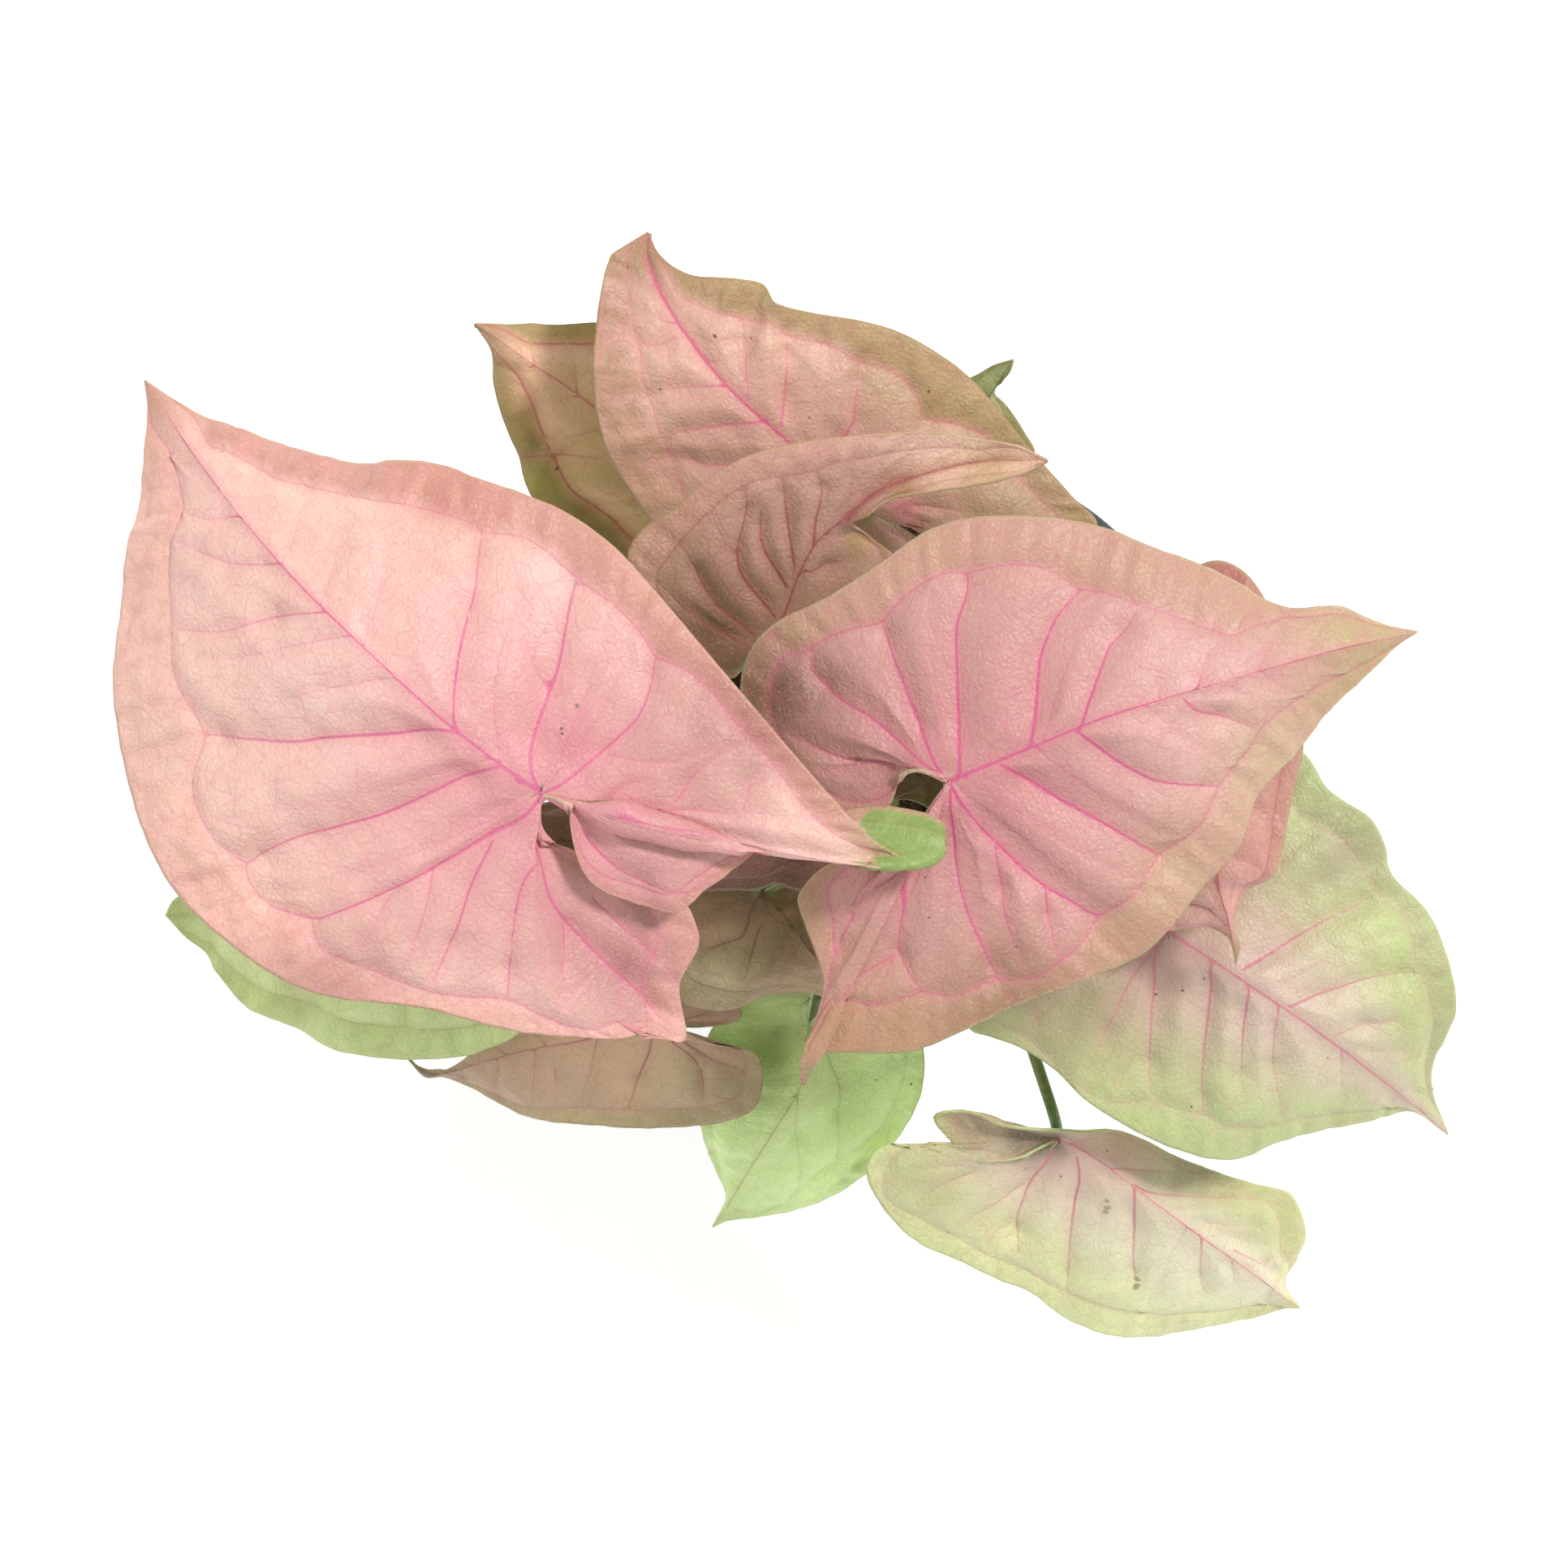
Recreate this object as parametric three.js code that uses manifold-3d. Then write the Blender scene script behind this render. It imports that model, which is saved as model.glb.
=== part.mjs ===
// A potted arrowhead vine: a plastic nursery pot, its compost, four short stems with their leaf
// stalks, and fourteen broad leaves. Millimetres, +Z up, origin at the centre of the pot's underside.

import * as THREE from 'three';
import { mergeVertices } from 'three/addons/utils/BufferGeometryUtils.js';
import Module from 'manifold-3d';

const wasm = await Module();
wasm.setup();

// Pot
const POT_HEIGHT = 90;
const POT_RIM_RADIUS = 54;
const POT_TOP_RADIUS = 51.5;
const POT_BASE_RADIUS = 38;
const POT_LIP_HEIGHT = 7;
const POT_WALL = 1.5;
const POT_FLOOR = 2;
const POT_SIDES = 44;
const DRAIN_COUNT = 6;
const DRAIN_RADIUS = 3.5;
const DRAIN_CIRCLE = 26;

// Compost and stems
const SEAT_GAP = 0.3;
const SOIL_LEVEL = 80;
const SOIL_CROWN = 2.5;
const STEM_RADIUS = 3.6;
const STEM_FOOT = 46;
const STEM_TOP = 99;
const STEM_SIDES = 14;
const NODE_SWELL = 0.6;

// Leaf stalks
const STALK_RADIUS = 1.25;
const SHEATH_RADIUS = 2.1;
const SHEATH_SHARE = 0.34;
const STALK_SIDES = 8;
const STALK_STEPS = 12;
const SHEATH_STEPS = 5;
const STALK_START = 88;
const STALK_RISE = 1.7;
const APPROACH_BACK = 4.5;
const APPROACH_DROP = 8;
const JOINT_DROP = 1.65;

// Leaf blades
const BLADE_THICKNESS = 0.7;
const BLADE_ARCH = 0.045;
const VEIN_SLANT = 0.6;
const RIB_SAMPLES = 60;
const TIP_CROWDING = 1.35;

// The leaves are laid out on a view from straight above, 1932 units square, as points
// [across, down, height in mm]. The view is taken from VIEW_HEIGHT above the floor.
const VIEW_CENTRE = 966;
const VIEW_FOCAL = 8000;
const VIEW_HEIGHT = 1400;
const VIEW_X = -30.1;
const VIEW_Y = -11.6;

// Each leaf has its joint with the stalk, the midrib from there to the tip, and its left and right
// margins from the notch round the basal lobe to the tip. A margin point may carry a second point,
// which the blade passes halfway between midrib and margin, where a lobe folds or curls.
const LEAVES = [
  {
    name: 'leaf_left_large', colour: 0xe3a79b, columns: 12, lobeColumns: 15, rows: 5,
    joint: [667, 978, 231],
    rib: [[560, 900, 236], [450, 800, 237], [350, 700, 232], [260, 590, 220], [178, 468, 203]],
    left: [
      [665, 1040, 226, 659, 1008, 229],
      [698, 1044, 223, 667, 1030, 227],
      [745, 1066, 220, 684, 1050, 225],
      [795, 1086, 219, 702, 1070, 224],
      [840, 1108, 218, 714, 1084, 223],
      [858, 1140, 217, 718, 1097, 222],
      [860, 1168, 216, 716, 1109, 222],
      [838, 1215, 215, 708, 1124, 222],
      [845, 1282, 212, 700, 1142, 221],
      [800, 1273, 214, 689, 1146, 222],
      [750, 1281, 216, 677, 1148, 223],
      [640, 1271, 219, 652, 1132, 227], [520, 1242, 222], [400, 1226, 221],
      [320, 1190, 222], [230, 1115, 218], [188, 1050, 219], [160, 970, 215],
      [140, 850, 215], [150, 740, 211], [157, 675, 211], [172, 625, 208], [178, 550, 208],
    ],
    right: [
      [706, 990, 232, 688, 983, 232],
      [703, 1014, 231, 697, 992, 232],
      [708, 1046, 229, 705, 1004, 231],
      [722, 1080, 227, 716, 1018, 230],
      [750, 1103, 225, 735, 1030, 229],
      [800, 1119, 224, 760, 1040, 229],
      [836, 1124, 224, 780, 1042, 229],
      [872, 1096, 224, 800, 1036, 229],
      [908, 1068, 222, 820, 1028, 229],
      [938, 1044, 219, 845, 1022, 229],
      [1000, 1010, 216, 900, 1036, 228],
      [1060, 994, 215, 958, 1052, 227],
      [1121, 997, 215, 1012, 1062, 226],
      [1163, 1014, 216, 1046, 1066, 226],
      [1152, 1043, 217, 1036, 1064, 227],
      [1130, 1058, 219, 1000, 1056, 228],
      [1116, 1059, 222, 950, 1040, 229],
      [1092, 1046, 225, 905, 1018, 231],
      [1058, 1018, 227], [1000, 954, 229], [940, 884, 231], [870, 802, 231],
      [800, 720, 229], [755, 672, 229], [700, 633, 227], [640, 607, 226], [590, 590, 225],
      [545, 573, 222], [490, 567, 222], [445, 572, 218], [390, 560, 217], [340, 545, 212],
      [300, 530, 212], [255, 513, 208], [222, 493, 207],
    ],
  },
  {
    name: 'leaf_right_large', colour: 0xd4a08f, columns: 12, lobeColumns: 15, rows: 5,
    joint: [1170, 962, 213],
    rib: [[1270, 922, 216], [1360, 885, 218], [1500, 842, 216], [1640, 803, 209], [1748, 778, 200]],
    left: [
      [1107, 953, 211, 1137, 948, 213],
      [1103, 975, 208, 1126, 949, 212],
      [1088, 1002, 206, 1108, 951, 211],
      [1050, 1015, 205, 1090, 951, 210],
      [1000, 1000, 204, 1074, 946, 210],
      [950, 960, 204, 1060, 938, 210],
      [920, 900, 204, 1052, 925, 210],
      [912, 850, 204], [925, 800, 205], [960, 765, 206],
      [1020, 735, 208], [1090, 690, 210], [1140, 655, 211], [1200, 637, 212],
      [1290, 638, 212], [1360, 650, 210], [1420, 675, 210], [1470, 692, 207],
      [1520, 715, 206], [1565, 742, 204], [1600, 748, 205], [1650, 745, 204], [1695, 762, 202],
    ],
    right: [
      [1150, 1003, 211, 1160, 983, 212],
      [1135, 1035, 210, 1155, 1003, 212],
      [1095, 1055, 209, 1141, 1022, 211],
      [1050, 1061, 208, 1124, 1040, 210],
      [1015, 1068, 207, 1108, 1050, 210],
      [985, 1100, 205, 1096, 1064, 209],
      [987, 1125, 204, 1098, 1078, 209],
      [1003, 1172, 203], [1013, 1212, 202],
      [1000, 1262, 200, 1082, 1116, 209],
      [986, 1312, 198, 1081, 1139, 208],
      [991, 1338, 197, 1087, 1146, 208],
      [1014, 1300, 198, 1099, 1137, 208],
      [1060, 1297, 200], [1110, 1297, 202],
      [1150, 1286, 202], [1195, 1266, 204], [1250, 1240, 204], [1320, 1213, 206],
      [1400, 1180, 204], [1440, 1145, 206], [1480, 1095, 205], [1525, 1045, 206],
      [1550, 980, 204], [1595, 930, 204], [1640, 873, 202], [1700, 820, 201],
    ],
  },
  {
    name: 'leaf_top', colour: 0xc9a184, columns: 11, lobeColumns: 8, rows: 4,
    joint: [1064, 628, 180],
    rib: [[1025, 594, 183], [965, 540, 186], [900, 480, 188], [840, 405, 187], [800, 330, 184], [798, 285, 181]],
    left: [
      [1096, 690, 173, 1073, 656, 177],
      [1080, 740, 170], [1000, 770, 168], [900, 750, 170], [840, 700, 174],
      [800, 640, 178], [765, 590, 180], [745, 550, 183], [733, 500, 184], [730, 450, 186],
      [735, 395, 186], [742, 350, 187], [748, 325, 185], [758, 308, 185],
    ],
    right: [
      [1140, 662, 175, 1094, 634, 178],
      [1200, 690, 172], [1270, 700, 170], [1330, 680, 170], [1352, 645, 172],
      [1320, 610, 175], [1280, 565, 177], [1235, 510, 181], [1200, 470, 182],
      [1160, 438, 185], [1110, 410, 186], [1060, 395, 189], [1000, 385, 189],
      [955, 372, 191], [940, 350, 189], [905, 343, 190], [860, 340, 187], [830, 328, 186],
      [808, 308, 184],
    ],
  },
  {
    name: 'leaf_centre_folded', colour: 0xb98a74, columns: 11, lobeColumns: 8, rows: 4,
    joint: [938, 800, 186],
    rib: [
      [966, 757, 190], [985, 708, 195], [1005, 672, 198], [1035, 645, 200], [1070, 613, 201],
      [1110, 593, 202], [1200, 570, 203], [1292, 568, 206],
    ],
    left: [
      [905, 835, 183, 925, 815, 185],
      [870, 830, 184], [835, 790, 188], [800, 745, 191], [778, 705, 193], [775, 675, 195],
      [800, 645, 197], [830, 628, 199], [870, 592, 201], [920, 562, 203], [980, 546, 204],
      [1040, 538, 205], [1100, 533, 206], [1160, 533, 206], [1200, 541, 206], [1245, 549, 207],
    ],
    right: [
      [975, 830, 183, 955, 812, 185],
      [1020, 825, 184], [1065, 790, 186], [1090, 740, 188], [1090, 695, 191],
      [1068, 670, 195], [1049, 652, 200], [1060, 638, 203], [1095, 614, 205],
      [1150, 605, 206], [1200, 597, 207], [1245, 587, 207],
    ],
  },
  {
    name: 'leaf_top_left', colour: 0x8f8350, columns: 8, lobeColumns: 5, rows: 3,
    joint: [850, 600, 155],
    rib: [[730, 500, 166], [655, 448, 170], [610, 415, 170], [583, 398, 168]],
    left: [
      [880, 660, 148, 868, 625, 152],
      [850, 700, 148], [790, 700, 150], [740, 680, 152], [690, 650, 156], [655, 612, 160],
      [632, 550, 162], [615, 500, 165], [606, 465, 166], [600, 430, 168],
    ],
    right: [
      [905, 590, 150, 875, 600, 153],
      [910, 540, 152], [890, 480, 156], [850, 430, 160], [800, 405, 163], [740, 397, 165],
      [690, 399, 168], [640, 396, 168],
    ],
  },
  {
    name: 'leaf_top_right_small', colour: 0x87723f, columns: 7, lobeColumns: 4, rows: 3,
    joint: [1150, 600, 150],
    rib: [[1190, 530, 160], [1225, 480, 168], [1248, 443, 174]],
    left: [
      [1115, 625, 146, 1135, 615, 149],
      [1090, 580, 148], [1100, 520, 155], [1150, 480, 160], [1195, 466, 167], [1222, 452, 171],
    ],
    right: [
      [1190, 640, 146, 1165, 620, 149],
      [1240, 610, 149], [1275, 565, 154], [1262, 532, 158], [1243, 503, 162],
      [1226, 484, 167], [1242, 460, 172],
    ],
  },
  {
    name: 'leaf_right_coral', colour: 0xd98f7b, columns: 8, lobeColumns: 8, rows: 3,
    joint: [1478, 890, 186],
    rib: [[1490, 980, 190], [1500, 1080, 188], [1515, 1140, 182], [1523, 1190, 174]],
    left: [
      [1482, 800, 181, 1484, 850, 184],
      [1470, 760, 179], [1458, 712, 180], [1500, 691, 181], [1540, 712, 182],
      [1575, 770, 184], [1603, 850, 186], [1606, 920, 186], [1592, 985, 185],
      [1572, 1075, 184], [1540, 1098, 182], [1524, 1140, 180], [1530, 1165, 177],
    ],
    right: [
      [1445, 840, 180, 1463, 868, 184],
      [1400, 870, 178], [1370, 950, 178], [1380, 1050, 178], [1415, 1120, 178],
      [1440, 1149, 179], [1480, 1146, 180], [1512, 1157, 179],
    ],
  },
  {
    name: 'leaf_lower_right', colour: 0xb6b183, columns: 11, lobeColumns: 9, rows: 4,
    joint: [1440, 1148, 163],
    rib: [[1530, 1208, 166], [1620, 1270, 162], [1700, 1330, 150], [1750, 1370, 139], [1784, 1397, 130]],
    left: [
      [1425, 1095, 159, 1430, 1123, 161],
      [1440, 1050, 158], [1480, 1000, 159], [1540, 950, 160], [1600, 925, 161],
      [1632, 967, 162], [1650, 983, 161], [1690, 1010, 161], [1707, 1045, 158],
      [1715, 1078, 158], [1760, 1125, 156], [1783, 1180, 155], [1794, 1237, 152],
      [1785, 1270, 149], [1768, 1310, 145], [1767, 1342, 140], [1778, 1376, 134],
    ],
    right: [
      [1392, 1142, 160, 1418, 1146, 162],
      [1330, 1150, 160], [1260, 1190, 160], [1200, 1240, 160], [1195, 1268, 159],
      [1225, 1279, 159], [1260, 1293, 159], [1300, 1320, 158], [1340, 1358, 155],
      [1400, 1394, 152], [1440, 1412, 150], [1490, 1427, 149], [1530, 1426, 146],
      [1570, 1408, 146], [1620, 1394, 143], [1680, 1383, 140], [1725, 1373, 137], [1752, 1379, 134],
    ],
  },
  {
    name: 'leaf_bottom_right', colour: 0xb7ba88, columns: 11, lobeColumns: 10, rows: 4,
    joint: [1305, 1402, 138],
    rib: [[1345, 1425, 140], [1400, 1466, 137], [1480, 1525, 129], [1550, 1575, 116], [1602, 1612, 101]],
    left: [
      [1264, 1424, 139, 1285, 1412, 139],
      [1232, 1431, 137], [1203, 1431, 136], [1178, 1413, 136], [1150, 1380, 136],
      [1163, 1370, 138], [1200, 1373, 140], [1230, 1386, 142], [1265, 1391, 143],
      [1305, 1393, 143], [1345, 1395, 141], [1375, 1392, 139], [1410, 1404, 136],
      [1450, 1424, 132], [1500, 1443, 126], [1545, 1458, 121], [1588, 1470, 115],
      [1604, 1500, 111], [1607, 1525, 108], [1598, 1553, 106], [1587, 1580, 104],
    ],
    right: [
      [1256, 1441, 133, 1282, 1428, 135],
      [1232, 1446, 132], [1216, 1452, 131], [1198, 1435, 132], [1170, 1421, 133],
      [1140, 1421, 133], [1112, 1409, 133], [1085, 1413, 132], [1069, 1432, 131],
      [1070, 1457, 130], [1090, 1492, 127], [1130, 1530, 123], [1180, 1552, 120],
      [1230, 1576, 116], [1270, 1592, 114], [1310, 1622, 110], [1360, 1643, 109],
      [1410, 1647, 106], [1480, 1636, 105], [1540, 1624, 102], [1582, 1615, 102],
    ],
  },
  {
    name: 'leaf_bottom_green', colour: 0x93ab58, columns: 10, lobeColumns: 8, rows: 4,
    joint: [996, 1262, 153],
    rib: [[996, 1300, 153], [985, 1345, 150], [955, 1395, 144], [925, 1440, 134], [903, 1475, 124], [878, 1512, 112]],
    left: [
      [1035, 1225, 152, 1015, 1245, 152],
      [1080, 1215, 150], [1120, 1240, 147], [1137, 1290, 142], [1138, 1330, 137],
      [1128, 1365, 133], [1105, 1402, 126], [1072, 1440, 121], [1030, 1470, 118],
      [985, 1488, 114], [940, 1500, 113], [903, 1506, 112],
    ],
    right: [
      [986, 1238, 155, 988, 1250, 154],
      [1002, 1224, 155], [975, 1221, 156], [945, 1223, 156], [916, 1235, 154],
      [888, 1254, 151], [871, 1279, 147], [861, 1315, 143], [858, 1350, 140],
      [864, 1388, 136], [875, 1430, 128], [890, 1468, 120], [888, 1485, 116],
    ],
  },
  {
    name: 'leaf_lower_left_brown', colour: 0x947455, columns: 11, lobeColumns: 6, rows: 4,
    joint: [812, 1262, 162],
    rib: [[720, 1283, 163], [640, 1298, 159], [580, 1315, 152], [545, 1325, 147], [526, 1325, 144], [503, 1306, 140]],
    left: [
      [850, 1280, 161, 830, 1272, 162],
      [890, 1288, 160], [922, 1293, 159], [937, 1305, 158], [940, 1335, 156],
      [930, 1365, 154], [905, 1378, 153], [870, 1386, 151], [800, 1390, 150],
      [740, 1387, 149], [680, 1382, 147], [640, 1372, 146], [600, 1352, 146],
      [570, 1338, 145], [545, 1331, 144], [522, 1329, 142],
    ],
    right: [
      [855, 1263, 161, 832, 1262, 162],
      [885, 1263, 159], [908, 1258, 157], [914, 1247, 157], [900, 1236, 157],
      [860, 1225, 160], [800, 1200, 163], [740, 1200, 163], [680, 1220, 161],
      [620, 1255, 158], [580, 1295, 153], [558, 1312, 149], [540, 1320, 147], [522, 1316, 143],
    ],
  },
  {
    name: 'leaf_left_green', colour: 0x9fae63, columns: 8, lobeColumns: 5, rows: 3,
    joint: [590, 1130, 172],
    rib: [[500, 1122, 176], [400, 1120, 175], [300, 1122, 170], [204, 1128, 162]],
    left: [
      [645, 1180, 170, 620, 1152, 171],
      [670, 1230, 168], [640, 1272, 167], [600, 1292, 166], [565, 1302, 165],
      [500, 1305, 165], [440, 1299, 165], [405, 1290, 166], [370, 1268, 166],
      [325, 1251, 167], [300, 1237, 166], [268, 1200, 167], [252, 1173, 166], [225, 1153, 165],
    ],
    right: [
      [655, 1105, 170, 622, 1115, 171],
      [670, 1060, 170], [630, 1020, 171], [550, 1000, 172], [450, 1010, 172],
      [350, 1040, 169], [280, 1080, 167], [235, 1098, 165], [212, 1109, 163],
    ],
  },
  {
    name: 'leaf_centre_brown', colour: 0x83694a, columns: 7, lobeColumns: 6, rows: 3,
    joint: [940, 1100, 173],
    rib: [[968, 1130, 175], [1000, 1175, 174], [1040, 1225, 168], [1075, 1268, 161]],
    left: [
      [965, 1089, 172, 953, 1093, 173],
      [990, 1095, 171], [1030, 1110, 170], [1070, 1150, 168], [1090, 1200, 165], [1090, 1240, 163],
    ],
    right: [
      [885, 1092, 171, 915, 1096, 172],
      [835, 1088, 170], [800, 1110, 169], [800, 1160, 168], [818, 1210, 167],
      [840, 1235, 166], [878, 1245, 165], [912, 1241, 165], [945, 1227, 164],
      [980, 1223, 164], [1010, 1228, 163], [1038, 1252, 161],
    ],
  },
  {
    name: 'leaf_centre_deep', colour: 0x6b5040, columns: 8, lobeColumns: 6, rows: 3,
    joint: [1040, 1010, 190],
    rib: [[950, 1020, 193], [850, 1030, 194], [740, 1035, 192], [640, 1038, 188], [560, 1040, 182]],
    left: [
      [1065, 1055, 186, 1050, 1030, 188],
      [1050, 1085, 184], [1015, 1085, 184], [985, 1097, 184], [955, 1089, 185],
      [930, 1097, 185], [870, 1098, 186], [800, 1118, 186], [720, 1115, 186],
      [650, 1085, 185], [600, 1060, 184],
    ],
    right: [
      [1150, 1000, 185, 1104, 985, 187],
      [1166, 985, 184, 1104, 980, 187],
      [1163, 955, 184], [1130, 938, 185], [1080, 945, 187], [1020, 958, 188],
      [940, 962, 189], [860, 965, 188], [780, 975, 187], [700, 982, 186],
      [630, 1000, 185], [590, 1020, 184],
    ],
  },
];

// The four stems stand near the middle of the pot, and each carries the stalks of the leaves on its
// side. A bend [x, y] swings a stalk sideways at half height, clear of a blade on its way.
const STEMS = [
  {
    name: 'stem_back_left', at: [-9, 5],
    stalks: [
      { leaf: 'leaf_left_large', bend: [0, 1.5] },
      { leaf: 'leaf_centre_folded', bend: [0, 0] },
      { leaf: 'leaf_top_left', bend: [-3, 0] },
    ],
  },
  {
    name: 'stem_back_right', at: [9, 7],
    stalks: [
      { leaf: 'leaf_right_large', bend: [3, 1] },
      { leaf: 'leaf_right_coral', bend: [0, 2] },
      { leaf: 'leaf_top_right_small', bend: [1, 0] },
      { leaf: 'leaf_top', bend: [0, 0] },
    ],
  },
  {
    name: 'stem_front_right', at: [10, -9],
    stalks: [
      { leaf: 'leaf_lower_right', bend: [1, 0] },
      { leaf: 'leaf_bottom_right', bend: [-3, 0] },
    ],
  },
  {
    name: 'stem_front_left', at: [-8, -10],
    stalks: [
      { leaf: 'leaf_bottom_green', bend: [2, 0] },
      { leaf: 'leaf_lower_left_brown', bend: [0, -2] },
      { leaf: 'leaf_left_green', bend: [0, 0] },
      { leaf: 'leaf_centre_brown', bend: [0, 0] },
      { leaf: 'leaf_centre_deep', bend: [0, 0] },
    ],
  },
];

function place([across, down, height]) {
  const scale = (VIEW_HEIGHT - height) / VIEW_FOCAL;
  return new THREE.Vector3(
    VIEW_X + (across - VIEW_CENTRE) * scale,
    VIEW_Y - (down - VIEW_CENTRE) * scale,
    height,
  );
}

function curveThrough(points) {
  return new THREE.CatmullRomCurve3(points, false, 'catmullrom', 0.5);
}

// A solid from a geometry, and a geometry from a solid.

function solidOf(geometry) {
  const bare = geometry.clone();
  bare.deleteAttribute('normal');
  bare.deleteAttribute('uv');
  const merged = mergeVertices(bare, 1e-4);
  return new wasm.Manifold(new wasm.Mesh({
    numProp: 3,
    vertProperties: new Float32Array(merged.attributes.position.array),
    triVerts: new Uint32Array(merged.index.array),
  }));
}

function geometryOf(solid) {
  const mesh = solid.getMesh();
  const geometry = new THREE.BufferGeometry();
  geometry.setAttribute('position', new THREE.BufferAttribute(new Float32Array(mesh.vertProperties), 3));
  geometry.setIndex(new THREE.BufferAttribute(new Uint32Array(mesh.triVerts), 1));
  return geometry;
}

function turned(profile, sides) {
  const points = profile.map(([radius, height]) => new THREE.Vector2(radius, height));
  const geometry = new THREE.LatheGeometry(points, sides);
  geometry.rotateX(Math.PI / 2);
  return geometry;
}

function upright(radius, low, high, sides) {
  const geometry = new THREE.CylinderGeometry(radius, radius, high - low, sides);
  geometry.rotateX(Math.PI / 2);
  geometry.translate(0, 0, (low + high) / 2);
  return geometry;
}

// Leaf blade: every column of the surface starts on the midrib, as a side vein does, passes the
// middle point and ends on the margin. The columns round the basal lobe all start at the joint.

function veinRoot(rib, point) {
  let nearest = Infinity;
  let share = 0;
  for (let i = 0; i <= RIB_SAMPLES; i += 1) {
    const distance = rib.getPointAt(i / RIB_SAMPLES).distanceTo(point);
    if (distance < nearest) {
      nearest = distance;
      share = i / RIB_SAMPLES;
    }
  }
  return Math.max(0, share - (VEIN_SLANT * nearest) / rib.getLength());
}

function sideCurves(rib, margin, tip) {
  const ends = [...margin.map(place), tip];
  const roots = ends.map((point) => veinRoot(rib, point));
  roots[roots.length - 1] = 1;
  for (let i = 1; i < roots.length; i += 1) {
    roots[i] = Math.max(roots[i], roots[i - 1]);
  }
  const middles = ends.map((end, i) => {
    const given = margin[i]?.slice(3) ?? [];
    if (given.length > 0) {
      return place(given);
    }
    const root = rib.getPointAt(roots[i]);
    const middle = root.clone().add(end).multiplyScalar(0.5);
    middle.z += BLADE_ARCH * root.distanceTo(end);
    return middle;
  });
  return { ends: curveThrough(ends), middles: curveThrough(middles), roots };
}

function marginPlace(roots, share) {
  const next = roots.findIndex((root) => root >= share);
  const from = roots[next - 1];
  return (next - 1 + (share - from) / (roots[next] - from)) / (roots.length - 1);
}

function evenPlaces(curve, end, count) {
  const steps = 200;
  const lengths = [0];
  for (let i = 1; i <= steps; i += 1) {
    const a = curve.getPoint((end * (i - 1)) / steps);
    const b = curve.getPoint((end * i) / steps);
    lengths.push(lengths[i - 1] + a.distanceTo(b));
  }
  const places = [];
  for (let i = 0; i < count; i += 1) {
    const wanted = (lengths[steps] * i) / count;
    places.push((end * lengths.findIndex((length) => length >= wanted)) / steps);
  }
  return places;
}

function leafColumns(leaf, rib, side) {
  const shares = [];
  for (let j = 1; j < leaf.columns; j += 1) {
    shares.push(1 - (1 - j / leaf.columns) ** TIP_CROWDING);
  }
  const ribPlaces = shares.map((share) => marginPlace(side.roots, share));
  const lobePlaces = evenPlaces(side.ends, ribPlaces[0], leaf.lobeColumns);
  const lobe = lobePlaces.map((at) => ({ at, share: 0, spine: 0 }));
  const body = ribPlaces.map((at, j) => ({ at, share: shares[j], spine: j + 1 }));
  return [...lobe, ...body].map(({ at, share, spine }) => {
    const root = rib.getPointAt(share);
    const middle = side.middles.getPoint(at);
    const end = side.ends.getPoint(at);
    const points = [];
    for (let k = 1; k <= leaf.rows; k += 1) {
      const t = k / leaf.rows;
      const point = root.clone().multiplyScalar((1 - t) * (1 - 2 * t));
      point.addScaledVector(middle, 4 * t * (1 - t));
      point.addScaledVector(end, t * (2 * t - 1));
      points.push(point);
    }
    return { spine, points };
  });
}

function bladeSheet(leaf) {
  const rib = curveThrough([leaf.joint, ...leaf.rib].map(place));
  const tip = rib.getPoint(1);
  const vertices = [rib.getPointAt(0)];
  for (let j = 1; j < leaf.columns; j += 1) {
    vertices.push(rib.getPointAt(1 - (1 - j / leaf.columns) ** TIP_CROWDING));
  }
  const tipIndex = vertices.push(tip) - 1;
  const triangles = [];
  const addTriangle = (a, b, c, flip) => {
    if (a !== b && b !== c && a !== c) {
      triangles.push(flip ? [a, c, b] : [a, b, c]);
    }
  };
  for (const [margin, flip] of [[leaf.left, false], [leaf.right, true]]) {
    const columns = leafColumns(leaf, rib, sideCurves(rib, margin, tip));
    const grid = columns.map(({ spine, points }) => {
      const first = vertices.push(...points) - points.length;
      return [spine, ...points.map((point, k) => first + k)];
    });
    grid.push(new Array(leaf.rows + 1).fill(tipIndex));
    for (let i = 0; i + 1 < grid.length; i += 1) {
      for (let k = 0; k < leaf.rows; k += 1) {
        addTriangle(grid[i][k], grid[i + 1][k], grid[i + 1][k + 1], flip);
        addTriangle(grid[i][k], grid[i + 1][k + 1], grid[i][k + 1], flip);
      }
    }
  }
  return { vertices, triangles };
}

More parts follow.
